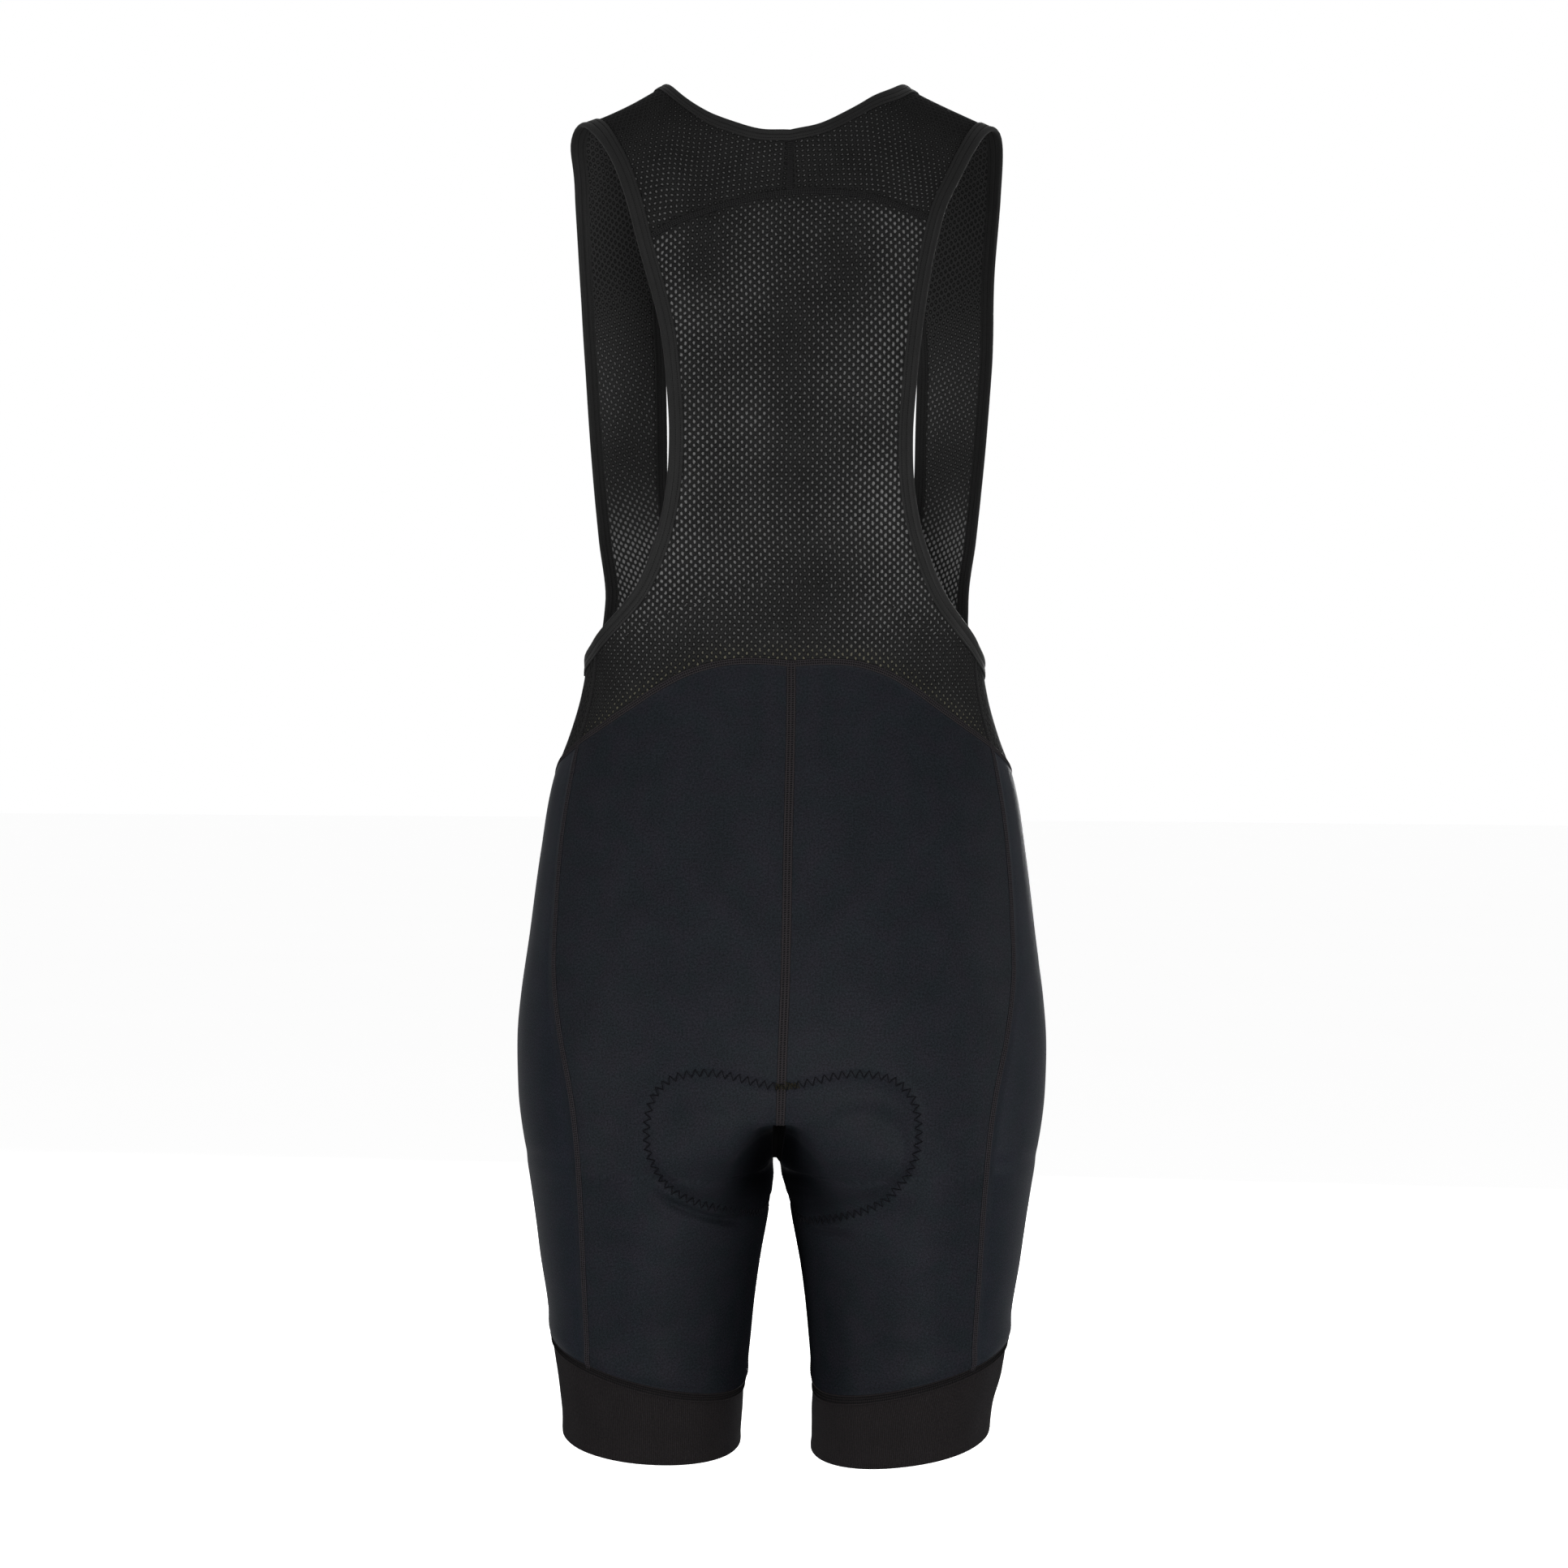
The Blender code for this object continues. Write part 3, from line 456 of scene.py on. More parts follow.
    def evenly(self, pairs: Array, pitch: float) -> Array:
        """The line read at even lengths, about pitch millimetres apart."""
        length = self.length_of(pairs)
        count = max(2, round(length[-1] / pitch)) + 1
        return read(np.linspace(0, length[-1], count), length, pairs)


FIGURE = Figure()


class Outline:
    """A smooth line over the cloth through named places, read at lengths along it."""

    def __init__(self, places: Sequence[Place], closed: bool = False) -> None:
        """Fits the line.

        Args:
            places: the places it goes through.
            closed: whether it comes back to the first one.
        """
        pairs = np.array([FIGURE.located(Place(*place)) for place in places])
        if closed:
            pairs = np.concatenate([pairs, [pairs[0] * (1, -1)]])
        length = FIGURE.length_of(pairs)
        self.dense = Smooth(length, pairs)(np.linspace(0, length[-1], 40 * len(pairs)))
        self.lengths = FIGURE.length_of(self.dense)

    def at(self, lengths: Any) -> Array:
        """(turn, run) at lengths along the line."""
        return read(lengths, self.lengths, self.dense)

    def length_where(self, test: Callable[[Array, Array], Array]) -> float:
        """Length at the first point that passes test(turn, run)."""
        return self.lengths[np.argmax(test(*self.dense.T))]


class PadShape:
    """Where the seat pad lies on the cloth, as rows that run out from the middle."""

    step = 0.5
    row_count = 74
    column_count = 30

    def __init__(self) -> None:
        """Walks every row outwards over the cloth."""
        self.directions = np.linspace(PAD_ROWS[0][0], PAD_ROWS[-1][0], self.row_count)
        table = Smooth([row[0] for row in PAD_ROWS], [row[1] for row in PAD_ROWS])
        self.half_widths = table(self.directions)[:, 0]
        trail = self.walk(self.directions, float(self.half_widths.max()) + 2)
        lengths = np.arange(len(trail)) * self.step
        share = np.linspace(0, 1, self.column_count)
        self.pairs = np.array([
            read(width * share, lengths, trail[:, row])
            for row, width in enumerate(self.half_widths)
        ])
        ends = FIGURE.form(*self.pairs[:, -1].T)[:, 0]
        self.end_across = Smooth(self.directions, ends)

    def place(self, direction: float, share: float) -> tuple[float, float]:
        """The pair at a share of the way out along the row nearest to a direction."""
        row = self.pairs[np.abs(self.directions - direction).argmin()]
        turn, run = read(share, np.linspace(0, 1, self.column_count), row)
        return float(turn), float(run)

    def sewn_line(self, side: int) -> Array:
        """The line that the pad is sewn along, from the seat seam round to the front seam."""
        drop = SEWN_DROP if side == RIGHT else 0.0
        pairs = [
            FIGURE.located(Place(x, z - drop * float(ramp(np.array(-z), 690, 755))))
            for x, z in SEWN_PLACES
        ]
        pairs += [self.place(at, 0.9) for at in (2, -8, -18, -28, -38, -46, -53)]
        pairs += [self.place(-57, share) for share in (0.75, 0.5, 0.25, 0.0)]
        pairs = np.array(pairs)
        pairs[:, 0] = np.unwrap(pairs[:, 0], period=360)
        reach = FIGURE.length_of(pairs)
        return Smooth(reach, pairs)(np.linspace(0, reach[-1], 400))

    @staticmethod
    def middle_levels(directions: Array) -> Array:
        """Levels at which the middle seam crosses each direction from the pad's pivot."""
        low = np.full(directions.shape, CROTCH)
        high = np.full(directions.shape, PAD_PIVOT - 1.0)
        slope = np.tan(np.radians(np.abs(directions)))
        for _ in range(40):
            level = (low + high) / 2
            turn = FIGURE.middle_turn(level)
            turn = np.where(directions > 0, turn, 180 - turn)
            depth = np.abs(FIGURE.form(turn, FIGURE.run_of(level))[:, 1])
            below = depth < (PAD_PIVOT - level) * slope
            low, high = np.where(below, level, low), np.where(below, high, level)
        return level

    def walk(self, directions: Array, reach: float) -> Array:
        """Walks rows outwards from the middle seam.

        Args:
            directions: each row's bearing from the pad's pivot, 90 straight back.
            reach: how far the walks go.

        Returns:
            Pairs, by step and row.
        """
        bearing = np.radians(directions)
        plane = np.stack([0 * bearing, np.cos(bearing), np.sin(bearing)], -1)
        level = np.where(np.abs(directions) < 0.01, CROTCH, self.middle_levels(directions))
        turn = FIGURE.middle_turn(level)
        here = np.stack([np.where(directions >= 0, turn, 180 - turn), FIGURE.run_of(level)], -1)
        heading = np.tile([0.5, 0.0, -1.0], (len(directions), 1))
        trail = [here]
        for _ in range(int(reach / self.step)):
            ahead = unit(np.cross(plane, FIGURE.normals(*here.T)))
            ahead *= np.sign((ahead * heading).sum(-1, keepdims=True))
            off = ((FIGURE.form(*here.T) - (0, 0, PAD_PIVOT)) * plane).sum(-1, keepdims=True)
            here = FIGURE.moved(here, ahead * self.step - plane * off)
            heading = ahead
            trail.append(here)
        return np.array(trail)

    def cover(self, points: Array) -> tuple[Array, Array]:
        """How far inside the pad points of the cloth lie.

        Args:
            points: places of the cloth, in millimetres.

        Returns:
            The direction of each from the pad's pivot, and its share of the way from the
            middle to the pad's edge, past 1 outside it.
        """
        direction = np.degrees(np.arctan2(points[:, 1], PAD_PIVOT - points[:, 2]))
        share = np.abs(points[:, 0]) / np.maximum(self.end_across(direction)[:, 0], 1)
        outside = (direction > PAD_ROWS[0][0]) | (direction < PAD_ROWS[-1][0])
        return direction, np.where(outside | (points[:, 2] > PAD_PIVOT), 9.0, share)


PAD_SHAPE = PadShape()


@dataclass(frozen=True)
class Crease:
    """A soft trough in the cloth, with a low ridge beside it.

    Attributes:
        places: the line that it follows, as (across, height, face).
        depth: how deep it is at its middle.
        width: half the width of its trough.
        side: LEFT or RIGHT.
        ridge: the ridge's height as a share of the depth. It is above the trough, or below it
            where the share is negative.
        fade: how much of its length it takes to fade away at each end.
        pairs: the line itself, where no places are given.
        samples: points along it.
        sideways: directions across it at them, towards the ridge.
    """

    places: tuple[tuple[float, float, int], ...]
    depth: float
    width: float
    side: int = LEFT
    ridge: float = 0.35
    fade: float = 0.3
    pairs: Array | None = None
    samples: Array = field(init=False)
    sideways: Array = field(init=False)

    def __post_init__(self) -> None:
        """Reads the line at even lengths."""
        if self.pairs is None:
            line = Outline([Place(*place) for place in self.places])
            pairs = FIGURE.evenly(line.dense, 2.0)
        else:
            pairs = FIGURE.evenly(self.pairs, 2.0)
        mirror = np.array([self.side, 1, 1])
        across = np.cross(FIGURE.normals(*pairs.T), FIGURE.along(pairs)) * mirror
        across *= np.where((across * (0.3, 0, 1)).sum(-1, keepdims=True) < 0, -1, 1)
        object.__setattr__(self, "samples", FIGURE.form(*pairs.T) * mirror)
        object.__setattr__(self, "sideways", across)

    def push(self, points: Array) -> Array:
        """How far the crease moves each point outwards."""
        moved = np.zeros(len(points))
        margin = 4 * self.width
        near = np.all(
            (points > self.samples.min(0) - margin) & (points < self.samples.max(0) + margin), 1
        ).nonzero()[0]
        for part in np.array_split(near, len(near) // 4000 + 1):
            offset = points[part][:, None] - self.samples[None]
            squared = (offset * offset).sum(-1)
            nearest = squared.argmin(1)
            rows = np.arange(len(part))
            aside = (offset[rows, nearest] * self.sideways[nearest]).sum(-1)
            beyond = np.sqrt(np.maximum(squared[rows, nearest] - aside**2, 0))
            strength = np.ones(len(part))
            if self.fade:
                share = nearest / (len(self.samples) - 1)
                strength = ramp(share, 0, self.fade) * ramp(1 - share, 0, self.fade)
            hump = math.copysign(1.7, self.ridge)
            profile = abs(self.ridge) * bell(aside / self.width - hump) - bell(aside / self.width)
            moved[part] = self.depth * profile * strength * bell(beyond / self.width)
        return moved


# Creases by face: the (across, height) that each goes through, and its depth, width, side and
# ridge. A place that has a third number lies on that face instead.
CREASES = tuple(
    Crease(tuple((*place, face)[:3] for place in places), *shape)
    for face, rows in (
        # Under the seat pad's lobes.
        (BACK, (
            (((86, -733), (76, -744), (60, -752.5), (42, -759), (20, -762.5)), 4.2, 3.2, LEFT, 0.6),
            (((90, -740), (76, -753), (57, -765), (34, -775)), 0.8, 7, LEFT, -0.3),
            (((12, -764), (24, -770), (38, -771), (52, -768)), 1.8, 3.8, RIGHT, 0.7),
            (((88, -744), (66, -757), (44, -765)), 0.8, 7, RIGHT, 0.5),
            (((108, -690), (98, -686), (86, -678), (78, -672)), 0.9, 4.5, LEFT, 0.5),
            (((112, -704), (101, -700), (91, -694)), 0.6, 4, LEFT, 0.5),
            (((110, -716), (98, -711), (90, -704)), 0.6, 4.5, RIGHT, 0.5),
        )),
        # Seat and back of the thighs.
        (BACK, (
            (((30, -480), (58, -520), (80, -566)), 0.6, 16, LEFT, 0.5),
            (((24, -520), (66, -548), (110, -562)), 0.55, 15, RIGHT, 0.5),
            (((40, -612), (80, -622), (124, -616)), 0.5, 14, LEFT, 0.5),
            (((122, -770), (96, -783), (70, -789)), 0.5, 9, LEFT, 0.4),
            (((118, -792), (84, -806), (60, -808)), 0.45, 10, RIGHT, 0.4),
            (((60, -826), (92, -836), (120, -832)), 0.5, 8, LEFT, 0.5),
            (((48, -840), (74, -849), (104, -848)), 0.5, 8, RIGHT, 0.5),
        )),
        # Groin and front of the thighs.
        (FRONT, (
            (((36, -706), (70, -684), (104, -648), (128, -606)), 2.4, 9, LEFT, 0.45),
            (((34, -712), (64, -694), (100, -660), (126, -624)), 2.1, 8, RIGHT, 0.5),
            (((42, -722), (80, -708), (112, -688)), 1.3, 6.5, LEFT, 0.4),
            (((46, -730), (84, -722), (120, -708)), 1.1, 6.5, RIGHT, 0.4),
            (((30, -690), (46, -662), (58, -630)), 1.2, 8, RIGHT, 0.4),
            (((22, -684), (34, -656), (42, -628)), 1.0, 7, LEFT, 0.4),
            (((50, -762), (86, -771), (124, -764)), 0.8, 8, LEFT, 0.4),
            (((60, -780), (92, -790), (128, -786)), 0.7, 9, RIGHT, 0.5),
            (((56, -838), (88, -848), (118, -842)), 0.7, 8, LEFT, 0.4),
            (((52, -822), (80, -830), (112, -826)), 0.5, 8, RIGHT, 0.4),
        )),
        # Belly of the shorts, below the waist seam.
        (FRONT, (
            (((20, -498), (62, -512), (112, -508)), 0.9, 12, LEFT, 0.4),
            (((14, -520), (54, -541), (98, -548)), 0.8, 13, RIGHT, 0.4),
            (((70, -560), (106, -574), (138, -570)), 0.8, 10, LEFT, 0.4),
        )),
        # Hips, on the side panels.
        (BACK, (
            (((164, -548), (169, -556, FRONT), (158, -566, FRONT)), 0.6, 9, RIGHT, 0.4),
            (((150, -700), (164, -706), (168, -712, FRONT), (150, -722, FRONT)), 0.7, 8, LEFT, 0.4),
            (((146, -736), (160, -744), (160, -752, FRONT), (146, -760, FRONT)),
             0.6, 8, RIGHT, 0.4),
        )),
        # Lower back and waist of the mesh.
        (BACK, (
            (((100, -398), (70, -380), (36, -372)), 0.8, 10, LEFT, 0.4),
            (((104, -408), (76, -386), (48, -368)), 0.7, 9, RIGHT, 0.4),
            (((66, -330), (48, -300), (42, -262)), 0.6, 12, RIGHT, 0.4),
            (((60, -300), (52, -256), (56, -206)), 0.5, 12, LEFT, 0.4),
            (((70, -150), (40, -128), (18, -122)), 0.8, 8, RIGHT, 0.4),
            (((76, -128), (52, -116), (30, -112)), 0.7, 7, LEFT, 0.4),
        )),
        # Front of the mesh, and the straps.
        (FRONT, (
            (((128, -400), (96, -424), (58, -436)), 1.2, 8, LEFT, 0.4),
            (((126, -412), (92, -438), (50, -450)), 1.0, 8, RIGHT, 0.4),
            (((112, -372), (98, -398), (78, -418)), 0.9, 6, RIGHT, 0.4),
            (((108, -340), (110, -290), (114, -240)), 0.8, 7, LEFT, 0.3),
            (((104, -322), (108, -262), (110, -196)), 0.7, 8, RIGHT, 0.3),
            (((118, -150), (116, -104), (112, -60)), 0.7, 8, LEFT, 0.3),
            (((110, -140), (114, -86), (112, -42)), 0.6, 7, RIGHT, 0.3),
        )),
    )
    for places, *shape in rows
)


class Relief:
    """How far the worn cloth stands out from the figure, place by place."""

    swell_height = 3.9
    stitch_sink = 1.2

    def __init__(self) -> None:
        """Adds the line that the seat pad is stitched along."""
        halves = [
            Crease((), self.stitch_sink, 2.6, side, 0, 0, PAD_SHAPE.sewn_line(side))
            for side in (LEFT, RIGHT)
        ]
        self.lines = (*CREASES, *halves)

    def pad_swell(self, points: Array) -> Array:
        """The seat pad's own thickness, as it shows through the cloth, with its two lobes."""
        direction, share = PAD_SHAPE.cover(points)
        edge = ramp(0.98 - share, 0, 0.16)
        edge *= ramp(PAD_ROWS[0][0] - direction, 0, 5) * ramp(direction - PAD_ROWS[-1][0], 0, 6)
        lobe_x = (np.abs(points[:, 0]) - 53) / 33
        lobe_z = (points[:, 2] + 711) / 31
        distance = np.sqrt(lobe_x**2 + lobe_z**2)
        lobes = np.where(points[:, 1] > 0, 1 - ramp(distance, 0.74, 1.14), 0)
        swell = self.swell_height * edge * (0.36 + 0.64 * lobes)
        valley = ramp(np.abs(points[:, 0]), 0, 14)
        wide, behind = np.abs(points[:, 0]), ramp(points[:, 1], 20, 60)
        full = 2.2 * bell((points[:, 2] + 734) / 9) * behind
        full *= ramp(wide, 10, 30) * (1 - ramp(wide, 60, 92))
        return swell * (0.35 + 0.65 * valley) + full

    @staticmethod
    def hollow(points: Array) -> Array:
        """The hollow between the thighs, where the seat seam turns under."""
        x, y, z = points.T
        below = -694.0 - z
        width = 9.5 + 0.5 * np.maximum(below, 0)
        deep = ramp(below, 0, 5) * (1 - ramp(below, 24, 34)) * ramp(y, 38, 56)
        return -17.0 * deep * bell((x - 1.2) / width)

    @staticmethod
    def waver(points: Array) -> Array:
        """The cloth's slight unevenness."""
        x, y, z = points.T
        return (
            0.16 * np.sin(x / 23 + 1.3) * np.sin(z / 41 + 0.4)
            + 0.14 * np.sin(x / 37 - y / 29 + z / 53 + 2.1)
            + 0.09 * np.sin(x / 11 + z / 17 + 0.9) * np.sin(y / 13 - z / 21)
        )

    @staticmethod
    def bunching(points: Array) -> Array:
        """The cloth standing out above each leg band, where the band's grip gathers it."""
        outwards = np.abs(points[:, 0]) - LEG_MIDDLE
        seam = BAND_SEAM.height + BAND_SEAM.outwards * outwards + BAND_SEAM.backwards * points[:, 1]
        above = points[:, 2] - seam
        uneven = 1 + 0.5 * np.sin(points[:, 0] / 9 + 1) * np.sin(points[:, 1] / 12)
        return 1.0 * uneven * bell((above - 7) / 7) - 0.9 * bell(above / 3.2)

    def at(self, points: Array) -> Array:
        """Outward moves, in millimetres, of points of the figure."""
        flat = points.reshape(-1, 3)
        total = self.waver(flat) + self.pad_swell(flat) + self.bunching(flat) + self.hollow(flat)
        for line in self.lines:
            total += line.push(flat)
        return total.reshape(points.shape[:-1])


RELIEF = Relief()


def outward_at(pairs: Array, side: int = LEFT) -> Array:
    """Outward directions of the figure at places on one side."""
    return FIGURE.normals(pairs[..., 0], pairs[..., 1]) * (side, 1, 1)


def worn(pairs: Array, side: int = LEFT, height: Any = 0.0) -> Array:
    """Points of the worn cloth.

    Args:
        pairs: places on the figure.
        side: LEFT, or RIGHT for their mirror images.
        height: how far outside the cloth's outside they are.

    Returns:
        Points in millimetres.
    """
    points = FIGURE.form(pairs[..., 0], pairs[..., 1]) * (side, 1, 1)
    outward = outward_at(pairs, side)
    push = outward.copy()
    push[..., 0] *= ramp(np.abs(points[..., 0]), 0, 9)
    height = np.broadcast_to(height, pairs.shape[:-1])[..., None]
    return points + unit(push) * RELIEF.at(points)[..., None] + outward * height


# How far the middle of the garment drifts towards the wearer's left, by height.
DRIFT = Smooth(
    (-860, -790, -745, -728, -695, -650, -597, -517, -395, -300),
    (0, 0.4, 1.5, 3.4, 2.1, 1.1, -0.5, -1.6, -3.2, 0),
)


def hung(points: Array) -> Array:
    """Points with the garment's small unevenness from side to side: its lean, drift and tilts."""
    x, y, z = np.moveaxis(points, -1, 0)
    wide = np.abs(x)
    # The neckline and the yoke seam tilt at the back.
    near = np.where(wide < 50, 1.0, 1 - ramp(wide, 50, 84)) * ramp(z, -170, -60)
    yoke = (1 - ramp(wide, 96, 145)) * ramp(z, -230, -110) * (1 - ramp(z, -110, -60))
    drop = x * ramp(y, -20, 10) * (0.105 * near + 0.075 * yoke * (1 - near))
    shift = DRIFT(z)[..., 0] * (1 - ramp(wide, 30, 110))
    # The straps hang towards the wearer's right, the more so in front and near the neck.
    chest = ramp(z, -385, -340) * (1 - ramp(z, -190, -110))
    front, inner = ramp(-y, 0, 40), 1 - ramp(wide, 92, 132)
    strap = np.where(x > 0, 1.1 + 2.3 * inner, 2.3 + 2.8 * inner)
    shift = shift - chest * (1.9 * (1 - front) + strap * front)
    # The shoulders draw in below their tips, and the left tip and neck corner stand out.
    shift = shift - np.sign(x) * 2.1 * bell((z + 94) / 38) * ramp(wide, 112, 138)
    shift = shift + 2.5 * bell((z + 38) / 14) * ramp(x, 120, 140)
    shift = shift + 4.5 * bell((x - 80) / 26) * bell((z + 2) / 20)
    # The crotch rises a little, and the leg bands sit towards the wearer's left and hang unevenly.
    drop = drop - 5.0 * bell((x - 2) / 4.5) * bell((z + 729) / 9)
    low = ramp(-z, 868, 895)
    shift = shift + np.where(x < 0, 2.4 * low, 2.0 * ramp(-z, 890, 925))
    drop = drop + low * np.where(x < 0, 1.3 + 0.045 * (x + 75), 0.02 * (x - 75))
    return np.stack([x + shift, y, z - drop], -1)


class Patch(NamedTuple):
    """A soft patch of the mesh back that is pulled more or less open than the rest, with more or
    less light painted into its eyelets.
    """

    across: float
    half_width: float
    height: float
    half_height: float
    change: float

    def at(self, x: Array, z: Array) -> Array:
        """The change at points."""
        sideways = self.change * bell((x - self.across) / self.half_width)
        return sideways * bell((z - self.height) / self.half_height)


PATCHES = (
    Patch(2, 16, -190, 90, -0.2), Patch(58, 14, -112, 34, -0.25), Patch(-38, 20, -130, 30, -0.2),
    Patch(0, 40, -338, 30, -0.12), Patch(72, 22, -306, 34, 0.12), Patch(-72, 22, -306, 34, 0.12),
)


def eyelet_light(points: Array) -> tuple[Array, Array]:
    """How much light is painted into the mesh's eyelets, which also sets how far they are open, and
    how much can be seen through them.

    Args:
        points: places of the mesh, in millimetres.

    Returns:
        Both values, from 0 to 1, place by place.
    """
    x, y, z = np.moveaxis(points, -1, 0)
    wide = np.abs(x)
    # The back's eyelets: how far open and how much light is painted into them, more towards the
    # sides, less towards the waist, and changed patch by patch.
    back = 0.53 + 0.08 * ramp(wide, 30, 84) + sum(patch.at(x, z) for patch in PATCHES)
    back = back - 0.12 * ramp(-z, 330, 380) - 0.15 * ramp(-z, 345, 400) * ramp(wide, 30, 120)
    back = back + 0.08 * np.sin(x / 17 + z / 26) * np.sin(z / 31 - x / 44)
    # The yoke is pulled less open and painted darker, and no eyelet lies in a seam.
    yoke_line = -85 - 26 * (wide / 100) ** 2
    back = np.where(z > yoke_line, 0.6 * back + 0.04 * bell((wide - 40) / 30), back)
    seam = np.where(z > yoke_line, np.minimum(z - yoke_line, wide), yoke_line - z)
    back = back * ramp(y, 12, 60) * ramp(seam, 1.5, 5.5)
    # The straps open up, and are painted lighter, towards their feet.
    low = ramp(-z, 262, 318)
    front = 0.12 + 0.44 * ramp(-z, 110, 215) + 0.4 * low - 0.16 * bell((z + 246) / 18)
    front = (front + 0.05 * np.sin(z / 21 + x / 13)) * (1 - ramp(-z, 372, 410))
    clear = np.where(y > 0, 0.04 * (1 - ramp(wide, 40, 62)), 0.05 * ramp(-z, 135, 215) + 0.2 * low)
    return np.clip(np.where(y > 0, back, front), 0, 1), clear


def fold_shade(points: Array) -> tuple[Array, Array]:
    """How far points of the cloth lie in the hollow under the seat seam, out of the light, as the
    shade painted into their colour.

    Args:
        points: places of the cloth, in millimetres.

    Returns:
        That painted shade, from 0 to 1, and how far each is between the thighs, which see only each
        other.
    """
    x, y, z = np.moveaxis(points, -1, 0)
    below = -696.5 - z
    spread = bell(((x - 1.2) / (11.5 + 0.55 * np.maximum(below, 0))) ** 2)
    deep = 0.97 * ramp(below, 0, 4) * spread * ramp(y, -45, -15)
    width, _, _, centre, _ = FIGURE.ring_at(z)
    inside = np.abs(x) - np.maximum(2 * centre - width, 0)
    between = ramp(-z, 712, 736) * (1 - ramp(inside, 8, 30))
    return deep * (1 - 0.75 * ramp(below, 34, 80)), between


def to_metres(points: Array) -> Array:
    """Points in the object's own frame."""
    return (hung(points) - (0, 0, HOLD_HEIGHT)) * MM


def linear(colour: str) -> tuple[float, float, float, float]:
    """A hex sRGB colour as linear values."""
    parts = [int(colour[i : i + 2], 16) / 255 for i in (1, 3, 5)]
    red, green, blue = (p / 12.92 if p <= 0.04045 else ((p + 0.055) / 1.055) ** 2.4 for p in parts)
    return red, green, blue, 1.0


def connect(node: bpy.types.Node, inputs: dict[Any, Any]) -> None:
    """Sets a node's inputs.

    Args:
        node: the node.
        inputs: a value, another node or one of its outputs, by socket name or number.
    """
    for key, value in inputs.items():
        if isinstance(value, bpy.types.Node):
            value = value.outputs[0]
        if isinstance(value, bpy.types.NodeSocket):
            node.id_data.links.new(value, node.inputs[key])
        else:
            node.inputs[key].default_value = value


def add_node(
    tree: bpy.types.NodeTree, kind: str, inputs: dict[Any, Any] | None = None, **settings: Any
) -> bpy.types.Node:
    """Adds a node with its settings and links.

    Args:
        tree: the node tree.
        kind: the node's type name without ShaderNode.
        inputs: what connect gives its inputs.
        settings: its other settings.

    Returns:
        The new node.
    """
    node = tree.nodes.new("ShaderNode" + kind)
    for key, value in settings.items():
        setattr(node, key, value)
    connect(node, inputs or {})
    return node


@dataclass(frozen=True)
class Finish:
    """A surface's look, made as one material the first time that it is asked for.

    Attributes:
        name: the material's common name and how it was made.
        colour: its colour, in sRGB hex.
        tint: the other colour that its mottling reaches.
        roughness: of its gloss.
        sheen: strength of the soft light on its fibres at a slant.
        specular: strength of its gloss.
        fibre: colour of the light on its fibres.
        relief: strength of its bump, and the bump's height in metres.
        speck: fine specks of its mottling, to a millimetre.
        glow: light of its own.
    """

    name: str
    colour: str
    tint: str
    roughness: float
    sheen: float = 0.1
    specular: float = 0.35
    fibre: str = "#2c2d32"
    relief: ClassVar[tuple[float, float]] = (0.4, 0.0002)
    speck: ClassVar[float] = 1.3
    glow: ClassVar[float] = 0.0

    def material(self) -> bpy.types.Material:
        """The Blender material."""
        made = bpy.data.materials.get(self.name)
        if made is None:
            made = bpy.data.materials.new(self.name)
            made.use_nodes = True
            made.node_tree.nodes.clear()
            add = partial(add_node, made.node_tree)
            shader = add("BsdfPrincipled", {
                "Roughness": self.roughness, "Sheen Weight": self.sheen, "Sheen Roughness": 0.35,
                "Sheen Tint": linear(self.fibre), "Specular IOR Level": self.specular,
                "Emission Color": linear("#ffffff"), "Emission Strength": self.glow,
            })
            add("OutputMaterial", {0: shader})
            inputs, height = self.dress(add)
            strength, distance = self.relief
            bump = add("Bump", {"Strength": strength, "Distance": distance, "Height": height})
            connect(shader, {**inputs, "Normal": bump})
        return made

    def dress(self, add: Adder) -> Look:
        """Adds the nodes that give the surface its detail.

        Args:
            add: adds a node to the material.

        Returns:
            Inputs of the shader, and the height that its bump follows.
        """
        raise NotImplementedError

    @staticmethod
    def cloth_mm(add: Adder) -> bpy.types.Node:
        """The cloth's own flat coordinates, in millimetres."""
        flat = add("UVMap", uv_map="cloth")
        return add("VectorMath", {0: flat, "Scale": 1000.0}, operation="SCALE")

    @staticmethod
    def wave(add: Adder, length: Any, pitch: float) -> bpy.types.Node:
        """A sine of a length in millimetres, once every pitch."""
        angle = add("Math", {0: length, 1: 2 * math.pi / pitch}, operation="MULTIPLY")
        return add("Math", {0: angle}, operation="SINE")

    @staticmethod
    def grain(add: Adder, colour: Any, flat: Any, scale: float) -> bpy.types.Node:
        """A colour speckled as by the knit's single loops, with scale specks to a millimetre."""
        specks = add("TexNoise", {0: flat, "Scale": scale, "Detail": 2.0})
        spread = add("MapRange", {0: specks, 1: 0.3, 2: 0.7, 3: 1 - GRAIN, 4: 1 + GRAIN})
        return add("VectorMath", {0: colour, 3: spread}, operation="SCALE")

    def mottle(self, add: Adder, flat: Any, broad: float) -> bpy.types.NodeSocket:
        """The surface's colour, from one of its two colours to the other.

        Args:
            add: adds a node to the material.
            flat: the coordinates that the mottling follows.
            broad: the size of its patches.

        Returns:
            The colour.
        """
        share = 0.0
        for scale, weight in ((1 / broad, 0.25), (self.speck, 0.75)):
            noise = add("TexNoise", {0: flat, "Scale": scale, "Detail": 2.0})
            even = add("MapRange", {0: noise, 1: 0.3, 2: 0.7})
            share = add("Math", {0: even, 1: weight, 2: share}, operation="MULTIPLY_ADD")
        colours = {0: share, 6: linear(self.colour), 7: linear(self.tint)}
        return add("Mix", colours, data_type="RGBA").outputs[2]


